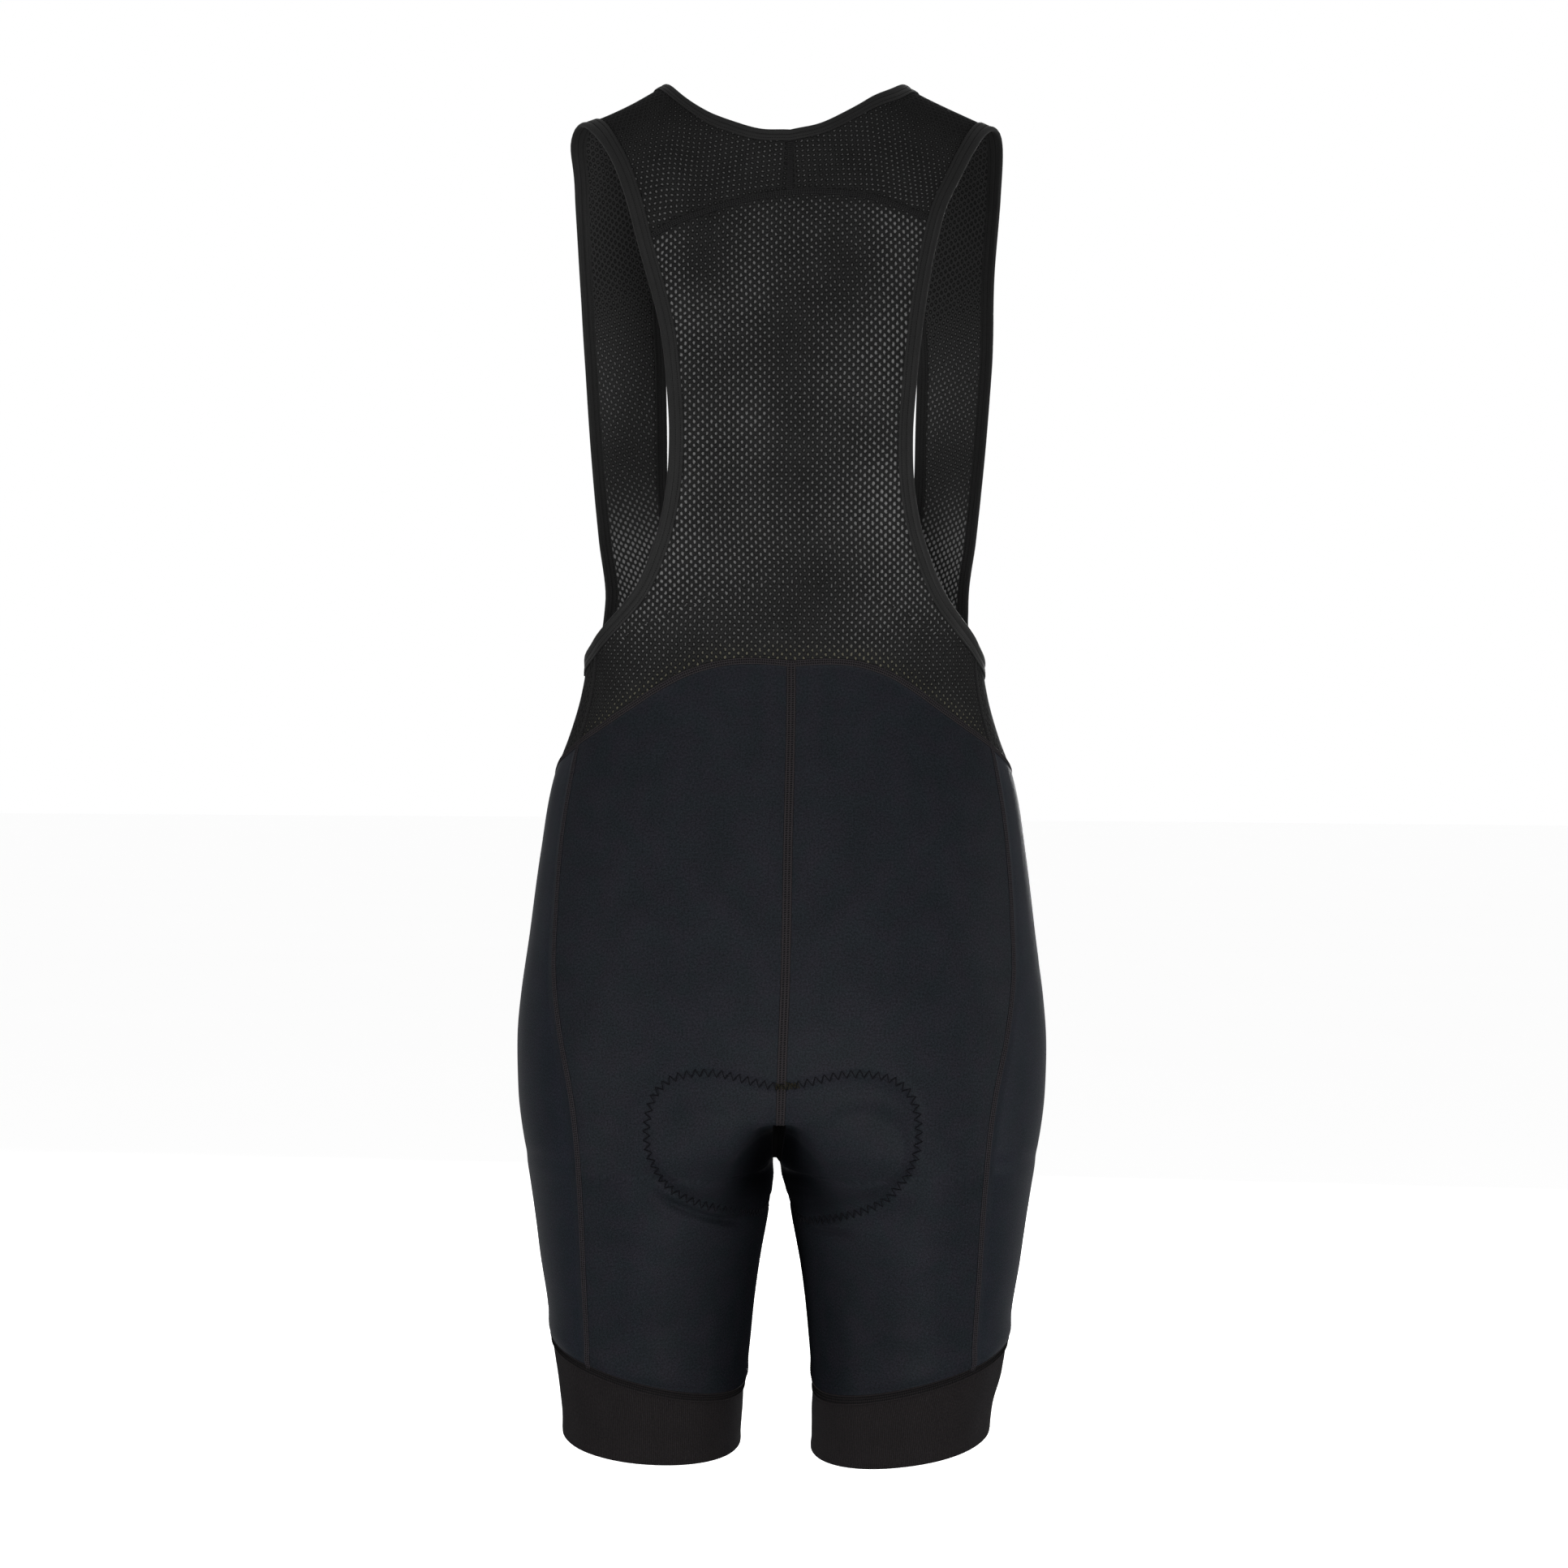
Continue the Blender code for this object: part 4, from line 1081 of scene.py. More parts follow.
@dataclass(frozen=True)
class WarpKnit(Finish):
    """Polyamide and elastane, warp knitted: smooth, matt satin, with wales too fine to count.

    The wales are drawn 1.1 mm apart, twice as coarse as the real ones, which would not show.
    It reads two values from the mesh: shade, the shade of the deep fold, painted into its colour;
    and between, how far the cloth lies between the thighs, where nothing gives it gloss.
    """

    wale: float = 1.1
    course: float = 0.8
    relief: ClassVar[tuple[float, float]] = (0.4, 0.0003)

    def dress(self, add: Adder) -> Look:
        """Adds broad mottling, fine wales and courses, uneven gloss and the deep fold's painted
        shade.
        """
        flat = self.cloth_mm(add)
        dye = add("TexNoise", {0: flat, "Scale": 0.07, "Detail": 4.0})
        lean = add("MapRange", {0: dye, 1: 0.4, 2: 0.6})
        green, red = (0.94, 1.02, 0.99, 1), (1.06, 0.99, 1.02, 1)
        hue = add("Mix", {0: lean, 6: green, 7: red}, data_type="RGBA").outputs[2]
        dyed = {0: 1.0, 6: self.mottle(add, flat, 28.0), 7: hue}
        dyed = add("Mix", dyed, data_type="RGBA", blend_type="MULTIPLY").outputs[2]
        shade, between = (
            add("Attribute", attribute_name=name).outputs["Fac"] for name in ("shade", "between")
        )
        # Painted shade: the cloth darkens towards near black where it lies deep in the fold under
        # the seat seam.
        shaded = {0: shade, 6: self.grain(add, dyed, flat, 0.75), 7: linear("#020203")}
        axes = add("SeparateXYZ", {0: flat})
        wales = self.wave(add, axes.outputs[0], self.wale)
        courses = self.wave(add, axes.outputs[1], self.course)
        fuzz = add("TexNoise", {0: flat, "Scale": 1.6, "Detail": 3.0})
        knit = add("Math", {0: courses, 1: 0.6, 2: wales}, operation="MULTIPLY_ADD")
        height = add("Math", {0: knit, 1: 0.05, 2: fuzz}, operation="MULTIPLY_ADD")
        low, high = self.roughness - 0.06, self.roughness + 0.06
        return {
            "Base Color": add("Mix", shaded, data_type="RGBA").outputs[2],
            "Specular IOR Level": add("MapRange", {0: between, 3: self.specular, 4: 0.0}),
            "Roughness": add("MapRange", {0: fuzz, 1: 0.3, 2: 0.7, 3: low, 4: high}),
        }, height


@dataclass(frozen=True)
class EyeletMesh(Finish):
    """Polyester, warp knitted with eyelets in staggered rows that a few fine threads cross.

    It reads four values from the mesh: openness, how far its eyelets are pulled open, which also
    sets how much light is painted into them; clear, how much can be seen between those; lining,
    how far pale cloth behind them shows; and reverse, light painted on the inside faces in front.
    """

    row_pitch: float = 5.75
    column_pitch: float = 5.25
    eyelet_wide: float = 0.92
    eyelet_high: float = 1.3
    fray: float = 1.6
    # Colour of the light painted into the open eyelets.
    eyelet_painted_light: str = "#808080"
    relief: ClassVar[tuple[float, float]] = (0.6, 0.0006)

    def eyelets(self, add: Adder, flat: Any) -> bpy.types.Node:
        """How far each point is from the nearest eyelet's middle, 1 at its rim."""
        wobble = add("TexNoise", {0: flat, "Scale": 0.3, "Detail": 1.0}).outputs[1]
        moved = {0: wobble, 1: (0.9, 0.9, 0), 2: flat}
        moved = add("VectorMath", moved, operation="MULTIPLY_ADD")
        pitch = (self.row_pitch, self.column_pitch, 1)
        cells = add("VectorMath", {0: moved, 1: pitch}, operation="DIVIDE")
        across = (self.row_pitch / self.eyelet_wide, self.column_pitch / self.eyelet_high, 0)
        away = []
        for shift in (0.5, 0.0):
            cell = cells
            for operation, value in (("ADD", shift), ("FRACTION", 0), ("SUBTRACT", 0.5)):
                cell = add("VectorMath", {0: cell, 1: (value, value, 0)}, operation=operation)
            oval = add("VectorMath", {0: cell, 1: across}, operation="MULTIPLY")
            away.append(add("VectorMath", {0: oval}, operation="LENGTH").outputs["Value"])
        return add("Math", dict(enumerate(away)), operation="MINIMUM")

    def dress(self, add: Adder) -> Look:
        """Adds the eyelets, with painted shade in their pits and painted light in their middles,
        and the stitches between.
        """
        flat = self.cloth_mm(add)
        edge = self.eyelets(add, flat)
        smooth = {"interpolation_type": "SMOOTHSTEP"}
        pit = add("MapRange", {0: edge, 1: 1.0, 2: 1.6, 3: 1.0, 4: 0.0}, **smooth)
        openness, clear, lining, reverse = (
            add("Attribute", attribute_name=name).outputs["Fac"]
            for name in ("openness", "clear", "lining", "reverse")
        )
        threads = add("TexNoise", {0: flat, "Scale": 1.1, "Detail": 2.0})
        frayed = {0: threads, 1: self.fray, 2: -self.fray / 2}
        frayed = add("Math", frayed, operation="MULTIPLY_ADD")
        reach = add("Math", {0: openness, 1: 1.25, 2: frayed}, operation="MULTIPLY_ADD")
        inside = add("Math", {0: reach, 1: edge}, operation="SUBTRACT")
        rim = add("MapRange", {0: inside, 1: -0.5, 2: 0.4}, **smooth)
        hole = add("Math", {0: rim, 1: pit}, operation="MULTIPLY")
        gap = add("Math", {0: clear, 1: hole}, operation="MULTIPLY")
        colour = self.mottle(add, flat, 30.0)
        # Layers of colour over the mottling: painted light on the inside faces in front, which lie
        # in shade; painted shade in the pits round the eyelets; painted light in the eyelets, the
        # more the further they are open; and the pale cloth behind, where it shows.
        for layer, one, other in (
            ("#383838", reverse, 1.0),
            ("#0b0b0b", pit, 0.75),
            (self.eyelet_painted_light, hole, add("MapRange", {0: openness, 1: 0.0, 2: 0.8, 3: 0.25})),
            ("#625e48", lining, hole),
        ):
            share = add("Math", {0: one, 1: other}, operation="MULTIPLY")
            colours = {0: share, 6: colour, 7: linear(layer)}
            colour = add("Mix", colours, data_type="RGBA").outputs[2]
        loops = add("TexVoronoi", {0: flat, "Scale": 0.9})
        knit = add("Math", {0: loops, 1: -0.5}, operation="MULTIPLY")
        height = add("Math", {0: knit, 1: pit}, operation="SUBTRACT")
        solid = add("Math", {0: 1.0, 1: gap}, operation="SUBTRACT")
        return {"Base Color": colour, "Alpha": solid}, height


@dataclass(frozen=True)
class RibKnit(Finish):
    """Polyamide and elastane, rib knitted: fine upright ribs that catch the light on one flank."""

    rib: float = 1.5
    relief: ClassVar[tuple[float, float]] = (0.5, 0.0004)

    def dress(self, add: Adder) -> Look:
        """Adds the ribs, painted shade in their grooves, and their slightly fuzzy tops."""
        flat = self.cloth_mm(add)
        ribs = self.wave(add, add("SeparateXYZ", {0: flat}), self.rib)
        # Painted shade: the cloth is darkened in the grooves between the ribs.
        groove = add("MapRange", {0: ribs, 1: -1.0, 2: 0.1, 3: 0.55, 4: 0.0})
        shaded = {0: groove, 6: self.mottle(add, flat, 22.0), 7: linear("#0e0c0b")}
        shaded = add("Mix", shaded, data_type="RGBA").outputs[2]
        fuzz = add("TexNoise", {0: flat, "Scale": 1.3, "Detail": 3.0})
        height = add("Math", {0: ribs, 1: fuzz}, operation="ADD")
        return {"Base Color": self.grain(add, shaded, flat, 0.8)}, height


@dataclass(frozen=True)
class FoldedTape(Finish):
    """Elastane tape, woven and folded: smooth, with fine lines along it and a satin edge."""

    relief: ClassVar[tuple[float, float]] = (0.3, 0.0002)

    def dress(self, add: Adder) -> Look:
        """Adds fine lines along the tape and faint cross ribs."""
        flat = self.cloth_mm(add)
        axes = add("SeparateXYZ", {0: flat})
        lines = self.wave(add, axes.outputs[1], 0.9)
        ribs = self.wave(add, axes.outputs[0], 1.2)
        fuzz = add("TexNoise", {0: flat, "Scale": 1.5, "Detail": 2.0})
        knit = add("Math", {0: lines, 1: 0.4, 2: ribs}, operation="MULTIPLY_ADD")
        height = add("Math", {0: knit, 1: 0.3, 2: fuzz}, operation="MULTIPLY_ADD")
        return {"Base Color": self.mottle(add, flat, 18.0)}, height


@dataclass(frozen=True)
class FlatlockCover(Finish):
    """Cover threads of a flat seam: light lines along it, with dark cloth between them."""

    spacing: float = 2.0
    even: bool = False
    relief: ClassVar[tuple[float, float]] = (0.5, 0.0003)

    def dress(self, add: Adder) -> Look:
        """Adds the lines of thread, and their breaks from stitch to stitch."""
        flat = self.cloth_mm(add)
        axes = add("SeparateXYZ", {0: flat})
        shift = self.spacing / 2 if self.even else 0.0
        across = {0: axes.outputs[1], 1: shift + self.spacing / 4}
        lines = self.wave(add, add("Math", across, operation="ADD"), self.spacing)
        stitches = self.wave(add, axes.outputs[0], 1.5)
        both = add("Math", {0: stitches, 1: 0.35, 2: lines}, operation="MULTIPLY_ADD")
        mask = add("MapRange", {0: both, 1: -0.35, 2: 0.6})
        colours = {0: mask, 6: linear("#0e0d0f"), 7: self.mottle(add, flat, 20.0)}
        return {"Base Color": add("Mix", colours, data_type="RGBA").outputs[2]}, mask


@dataclass(frozen=True)
class SpunThread(Finish):
    """Polyester thread, textured and sewn: matt, with a twist that breaks up its light."""

    def dress(self, add: Adder) -> Look:
        """Adds the twist and the change of colour from stitch to stitch."""
        place = add("TexCoord").outputs["Object"]
        scaled = add("VectorMath", {0: place, "Scale": 1000.0}, operation="SCALE")
        twist = add("TexNoise", {0: scaled, "Scale": 2.6, "Detail": 2.0})
        return {"Base Color": self.mottle(add, scaled, 9.0)}, twist


@dataclass(frozen=True)
class BrushedFoam(Finish):
    """Polyester fleece, brushed and laid over foam: soft, with a nap that fades its edges."""

    relief: ClassVar[tuple[float, float]] = (0.6, 0.0005)

    def dress(self, add: Adder) -> Look:
        """Adds the nap, and the paler tips of its fibres."""
        flat = self.cloth_mm(add)
        nap = add("TexNoise", {0: flat, "Scale": 1.1, "Detail": 4.0, "Roughness": 0.7})
        return {"Base Color": self.mottle(add, flat, 12.0)}, nap


@dataclass(frozen=True)
class PaperSweep(Finish):
    """Paper, rolled out over a light table: plain, pale and matt, with the faintest tooth."""

    relief: ClassVar[tuple[float, float]] = (0.05, 0.0003)
    glow: ClassVar[float] = 0.85

    def dress(self, add: Adder) -> Look:
        """Adds the paper's tooth."""
        place = add("TexCoord").outputs["Object"]
        tooth = add("TexNoise", {0: place, "Scale": 160.0})
        return {"Base Color": self.mottle(add, place, 3.0)}, tooth


SHORTS_CLOTH = WarpKnit("warp_knit_polyamide_seat", "#161a1d", "#27282e", 0.5, 0.25, 0.04)
SIDE_CLOTH = WarpKnit("warp_knit_polyamide_side", "#13171c", "#24272f", 0.48, 0.3, 0.05)
MESH_CLOTH = EyeletMesh("warp_knit_polyester_mesh", "#141414", "#303030", 0.8, 0.15, 0.06)
BAND_CLOTH = RibKnit("rib_knit_polyamide_band", "#1a1819", "#282526", 0.85, 0.25, 0.08)
TAPE = FoldedTape("folded_elastane_tape", "#1e1e1e", "#292929", 0.5, 0.12, 0.1, "#858585")
SEAM_COVER = FlatlockCover(
    "flatlock_cover_thread_brown", "#232021", "#343134", 0.75, 0.1, 0.1, spacing=2.3
)
SIDE_COVER = FlatlockCover(
    "flatlock_cover_thread_side", "#272528", "#39373c", 0.75, 0.1, 0.1, spacing=1.6
)
NARROW_COVER = FlatlockCover(
    "flatlock_cover_thread_waist", "#292627", "#3a373a", 0.75, 0.1, 0.1, spacing=1.6
)
BAND_COVER = FlatlockCover(
    "flatlock_cover_thread_band", "#1a1718", "#282425", 0.75, 0.1, 0.1, spacing=1.6, even=True
)
# Painted shade: the seam under the crotch, below the ledge, is drawn near black as the shade of the
# hollow between the thighs.
PAINTED_SHADE_COVER = FlatlockCover(
    "flatlock_cover_thread_black", "#030303", "#050505", 0.9, 0.0, 0.02, spacing=2.3
)
MESH_COVER = FlatlockCover(
    "flatlock_cover_thread_mesh", "#232323", "#2c2c2c", 0.75, 0.1, 0.1, spacing=1.3
)
SEAM_THREAD = SpunThread("sewn_polyester_thread_brown", "#292627", "#383538", 0.75, 0.1, 0.1)
MESH_THREAD = SpunThread("sewn_polyester_thread_grey", "#262626", "#333333", 0.75, 0.1, 0.1)
# Painted shade: the under seam's thread, near black like its cover.
PAINTED_SHADE_THREAD = SpunThread("sewn_polyester_thread_under", "#030303", "#050505", 0.9, 0.0, 0.02)
DARK_THREAD = SpunThread("sewn_polyester_thread_black", "#0b0b0b", "#151515", 0.8, 0.0, 0.05)
PAD_THREAD = SpunThread("sewn_polyester_thread_pad", "#0c0c0e", "#19191d", 0.8, 0.0, 0.05)
TACK_THREAD = SpunThread("sewn_polyester_thread_tack", "#080806", "#3a3626", 0.8, 0.0, 0.05)
PAD_FLEECE = BrushedFoam("brushed_polyester_fleece_pad", "#23252a", "#30333a", 0.9, 0.3, 0.1)
FLOOR_PAPER = PaperSweep("backlit_paper_sweep", "#f4f4f4", "#f8f8f8", 0.9, 0.0, 0.2)


class Slot(Enum):
    """The record's material slots."""

    SHORTS = "stretch_knit"
    MESH = "mesh_knit"
    BAND = "ribbed_band"
    BINDING = "binding_tape"
    PAD = "pad_fleece"


class Held(Enum):
    """How a sheet of cloth is held."""

    STRETCHED = "stretched"


def quads(rows: int, columns: int) -> Array:
    """Corners of a grid's faces, as (row, column) with one more axis of length 4."""
    row, column = np.mgrid[0:rows, 0:columns].reshape(2, -1)
    corners = [(row, column), (row, column + 1), (row + 1, column + 1), (row + 1, column)]
    return np.stack([np.stack(corner, -1) for corner in corners], 1)


def make_mesh(
    name: str,
    points: Array,
    faces: Sequence[Any],
    flat: Array | None,
    finish: Finish,
    marks: dict[str, Array] | None = None,
) -> bpy.types.Object:
    """Makes a piece from its points and faces.

    Args:
        name: the piece's name.
        points: its points, in millimetres.
        faces: its faces, as rows of point numbers.
        flat: flat coordinates in metres, corner by corner, if its finish follows them.
        finish: its look.
        marks: named values, point by point, that its finish reads.

    Returns:
        The new object.
    """
    mesh = bpy.data.meshes.new(name)
    mesh.from_pydata(to_metres(points).tolist(), [], [list(map(int, face)) for face in faces])
    if flat is not None:
        layer = mesh.uv_layers.new(name="cloth")
        layer.uv.foreach_set("vector", np.ascontiguousarray(flat, np.float32).ravel())
    for mark, values in (marks or {}).items():
        layer = mesh.attributes.new(mark, "FLOAT", "POINT")
        layer.data.foreach_set("value", np.ascontiguousarray(values, np.float32))
    mesh.materials.append(finish.material())
    mesh.update()
    mesh.shade_smooth()
    piece = bpy.data.objects.new(name, mesh)
    bpy.context.scene.collection.objects.link(piece)
    return piece


def deselect() -> None:
    """Leaves nothing selected or active."""
    for chosen in list(bpy.context.selected_objects):
        chosen.select_set(False)
    bpy.context.view_layer.objects.active = None


def flattened(points: Array, grain: tuple[slice, slice]) -> Array:
    """Lays a grid of cloth flat, as it was cut.

    Args:
        points: the grid, in millimetres.
        grain: the rows and columns where the grain runs straight down the grid.

    Returns:
        Flat coordinates in metres, point by point, with the grain along the second axis.
    """
    step = 4
    rows = np.unique(np.append(np.arange(0, points.shape[0], step), points.shape[0] - 1))
    columns = np.unique(np.append(np.arange(0, points.shape[1], step), points.shape[1] - 1))
    coarse = points[np.ix_(rows, columns)] * MM
    faces = quads(len(rows) - 1, len(columns) - 1)
    numbers = faces[..., 0] * len(columns) + faces[..., 1]
    mesh = bpy.data.meshes.new("flat")
    mesh.from_pydata(coarse.reshape(-1, 3).tolist(), [], numbers.tolist())
    mesh.uv_layers.new(name="cloth")
    sheet = bpy.data.objects.new("flat", mesh)
    bpy.context.scene.collection.objects.link(sheet)
    deselect()
    sheet.select_set(True)
    bpy.context.view_layer.objects.active = sheet
    bpy.ops.object.mode_set(mode="EDIT")
    bpy.ops.mesh.select_all(action="SELECT")
    bpy.ops.uv.unwrap(method="ANGLE_BASED", fill_holes=False, correct_aspect=False, margin=0)
    bpy.ops.object.mode_set(mode="OBJECT")
    corner = np.zeros(len(mesh.loops) * 2, np.float32)
    mesh.uv_layers["cloth"].uv.foreach_get("vector", corner)
    flat = np.zeros((len(rows) * len(columns), 2))
    flat[numbers.ravel()] = corner.reshape(-1, 2)
    corners = flat[numbers]
    diagonals = corners[:, 2] - corners[:, 0], corners[:, 3] - corners[:, 1]
    flat_area = (diagonals[0][:, 0] * diagonals[1][:, 1] - diagonals[0][:, 1] * diagonals[1][:, 0])
    true = sum(polygon.area for polygon in mesh.polygons)
    flat *= math.sqrt(true / abs(flat_area.sum() / 2))
    bpy.data.objects.remove(sheet)
    flat = flat.reshape(len(rows), len(columns), 2)
    if flat_area.sum() > 0:
        flat[..., 0] *= -1
    steps = (np.linalg.norm(np.diff(points, axis=a), axis=-1).mean(1 - a) for a in (0, 1))
    down, over = (np.concatenate([[0], step.cumsum()]) for step in steps)
    flat = np.stack([read(over, over[columns], row) for row in flat])
    flat = np.stack([read(down, down[rows], column) for column in flat.transpose(1, 0, 2)], 1)
    part = flat[grain]
    down = (part[-1] - part[0]).mean(0)
    angle = math.atan2(down[0], -down[1])
    cosine, sine = math.cos(angle), math.sin(angle)
    flat = flat @ np.array([[cosine, -sine], [sine, cosine]]).T
    return flat - flat.reshape(-1, 2).min(0)


def shell(
    name: str, outside: Array, inside: Array, flat: Array, finish: Finish
) -> bpy.types.Object:
    """Makes a closed wall of cloth.

    Args:
        name: the piece's name.
        outside: grid of its outer points.
        inside: grid of its inner points.
        flat: grid of its flat coordinates, in metres.
        finish: its look.

    Returns:
        The new object.
    """
    rows, columns = outside.shape[:2]
    count = rows * columns
    faces = quads(rows - 1, columns - 1)
    outer = faces[..., 0] * columns + faces[..., 1]
    rim = np.concatenate([
        np.arange(columns),
        np.arange(1, rows) * columns + columns - 1,
        (rows - 1) * columns + np.arange(columns - 2, -1, -1),
        np.arange(rows - 2, 0, -1) * columns,
    ])
    after = np.roll(rim, -1)
    edge = np.stack([rim, rim + count, after + count, after], 1)
    row, column = rows // 2, columns // 2
    middle = outside[row, column]
    facing = np.cross(outside[row, column + 1] - middle, outside[row + 1, column] - middle)
    if facing @ (middle - inside[row, column]) < 0:
        outer = outer[:, ::-1]
    else:
        edge = edge[:, ::-1]
    numbers = np.concatenate([outer, outer[:, ::-1] + count, edge])
    coordinates = flat.reshape(-1, 2)[numbers % count]
    points = np.concatenate([outside.reshape(-1, 3), inside.reshape(-1, 3)])
    marks = None
    if isinstance(finish, EyeletMesh):
        openness, clear = eyelet_light(points)
        waist = zip(*((spot.across, spot.height) for spot in WAIST_SEAM if spot.face == BACK))
        above = points[:, 2] - np.interp(np.abs(points[:, 0]), *waist)
        lining = 0.8 * (1 - ramp(above, 4, 18)) * ramp(points[:, 1], 20, 50)
        # Painted light on the mesh's inside faces in front, which lie in shade.
        reverse = ramp(-points[:, 1], -20, 20) * (np.arange(len(points)) >= count)
        marks = {"openness": openness, "clear": clear, "lining": lining, "reverse": reverse}
    elif isinstance(finish, WarpKnit):
        # The seat cloth's painted shade in the hollow under the seat seam, and its gloss between
        # the thighs.
        shade, between = fold_shade(points)
        marks = {"shade": shade, "between": between}
    return make_mesh(name, points, numbers, coordinates, finish, marks)


def tube(
    name: str, rings: Array, flat: tuple[Array, Array], finish: Finish, closed: bool
) -> bpy.types.Object:
    """Makes a closed tube through cross-sections.

    Args:
        name: the piece's name.
        rings: points by station along it and by corner of its closed cross-section.
        flat: the flat coordinates of its stations and of its corners, in metres, one more of
            each than the tube has where it comes round.
        finish: its look.
        closed: whether the last station joins the first.

    Returns:
        The new object.
    """
    stations, corners = rings.shape[:2]
    faces = quads(stations if closed else stations - 1, corners)
    numbers = (faces[..., 0] % stations) * corners + faces[..., 1] % corners
    coordinates = np.stack([flat[0][faces[..., 0]], flat[1][faces[..., 1]]], -1)
    points = rings.reshape(-1, 3)
    corner = points[numbers[:, 0]]
    outward = corner - rings.mean(1)[numbers[:, 0] // corners]
    facing = np.cross(points[numbers[:, 1]] - corner, points[numbers[:, 3]] - corner)
    turned = (unit(facing) * unit(outward)).sum() < 0
    if turned:
        numbers, coordinates = numbers[:, ::-1], coordinates[:, ::-1]
    all_faces, coordinates = numbers.tolist(), coordinates.reshape(-1, 2)
    if not closed:
        first, last = np.arange(corners), (stations - 1) * corners + np.arange(corners)
        caps = (first, last[::-1]) if turned else (first[::-1], last)
        all_faces += [cap.tolist() for cap in caps]
        ends = np.zeros((2 * corners, 2))
        ends[:, 1] = np.tile(flat[1][:corners], 2)
        coordinates = np.concatenate([coordinates, ends])
    return make_mesh(name, points, all_faces, coordinates, finish)


class Needle:
    """Sews: one stitch, modelled once and copied along a line."""

    def __init__(self, sides: int, rings: int) -> None:
        """Models the stitch, a short thread that sinks at both ends.

        Args:
            sides: how many sides it has.
            rings: how many rows of faces.
        """
        deselect()
        bpy.ops.mesh.primitive_uv_sphere_add(segments=sides, ring_count=rings, radius=0.5)
        model = bpy.context.object
        bpy.ops.object.mode_set(mode="EDIT")
        bpy.ops.mesh.select_all(action="SELECT")
        bpy.ops.mesh.quads_convert_to_tris()
        bpy.ops.object.mode_set(mode="OBJECT")
        self.points = np.array([vertex.co for vertex in model.data.vertices])[:, [2, 0, 1]]
        self.faces = np.array([polygon.vertices[:] for polygon in model.data.polygons])
        bpy.data.objects.remove(model)

    def sew(self, name: str, stitches: Array, thickness: float, finish: Finish) -> bpy.types.Object:
        """Sews one line of stitches.

        Args:
            name: the piece's name.
            stitches: each stitch's start, end and outward direction, in millimetres.
            thickness: the thread's thickness.
            finish: its look.

        Returns:
            The new object.
        """
        start, end, outward = np.moveaxis(stitches, 1, 0)
        along = end - start
        side = unit(np.cross(outward, along))
        up = unit(np.cross(along, side))
        centre = (start + end) / 2
        x, y, z = (self.points[:, axis][None, :, None] for axis in (0, 1, 2))
        points = (
            centre[:, None]
            + x * (along[:, None] + thickness * unit(along)[:, None])
            + (y * side[:, None] + z * up[:, None]) * thickness
        )
        count = len(self.points)
        faces = self.faces[None] + (np.arange(len(stitches)) * count)[:, None, None]
        return make_mesh(name, points.reshape(-1, 3), faces.reshape(-1, 3), None, finish)


FINE_NEEDLE = Needle(4, 2)
THICK_NEEDLE = Needle(5, 4)


def settle(piece: bpy.types.Object, *nodes: str, slot: Slot | None = None) -> bpy.types.Object:
    """Makes a piece part of the object.

    Args:
        piece: the piece.
        nodes: the CAD nodes that it stands for.
        slot: the record's slot that its finish comes from; not used.

    Returns:
        The piece.
    """
    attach(piece, "root")
    if nodes:
        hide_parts(*nodes)
    LOG.info("%s: %d faces", piece.name, len(piece.data.polygons))
    return piece


@dataclass(frozen=True)
class Cut:
    """A piece of cloth as it was cut: its flat width, length and area, in metres."""

    width: float
    length: float
    area: float

    @classmethod
    def of(cls, flat: Array, area: float, ease: tuple[float, float]) -> "Cut":
        """The cut of cloth that is stretched when worn, laid in the smallest rectangle.

        Args:
            flat: its flat coordinates as worn.
            area: its area as worn.
            ease: how much longer it is worn than cut, across and along.

        Returns:
            The cut.
        """
        points = flat.reshape(-1, 2) / ease
        angles = np.radians(np.arange(0, 180, 2))
        axes = np.stack([np.cos(angles), np.sin(angles)])
        other = np.stack([-np.sin(angles), np.cos(angles)])
        spans = np.ptp(points @ axes, axis=0), np.ptp(points @ other, axis=0)
        best = (spans[0] * spans[1]).argmin()
        width, length = sorted(float(span[best]) for span in spans)
        return cls(round(width, 3), round(length, 3), round(area / (ease[0] * ease[1]), 4))


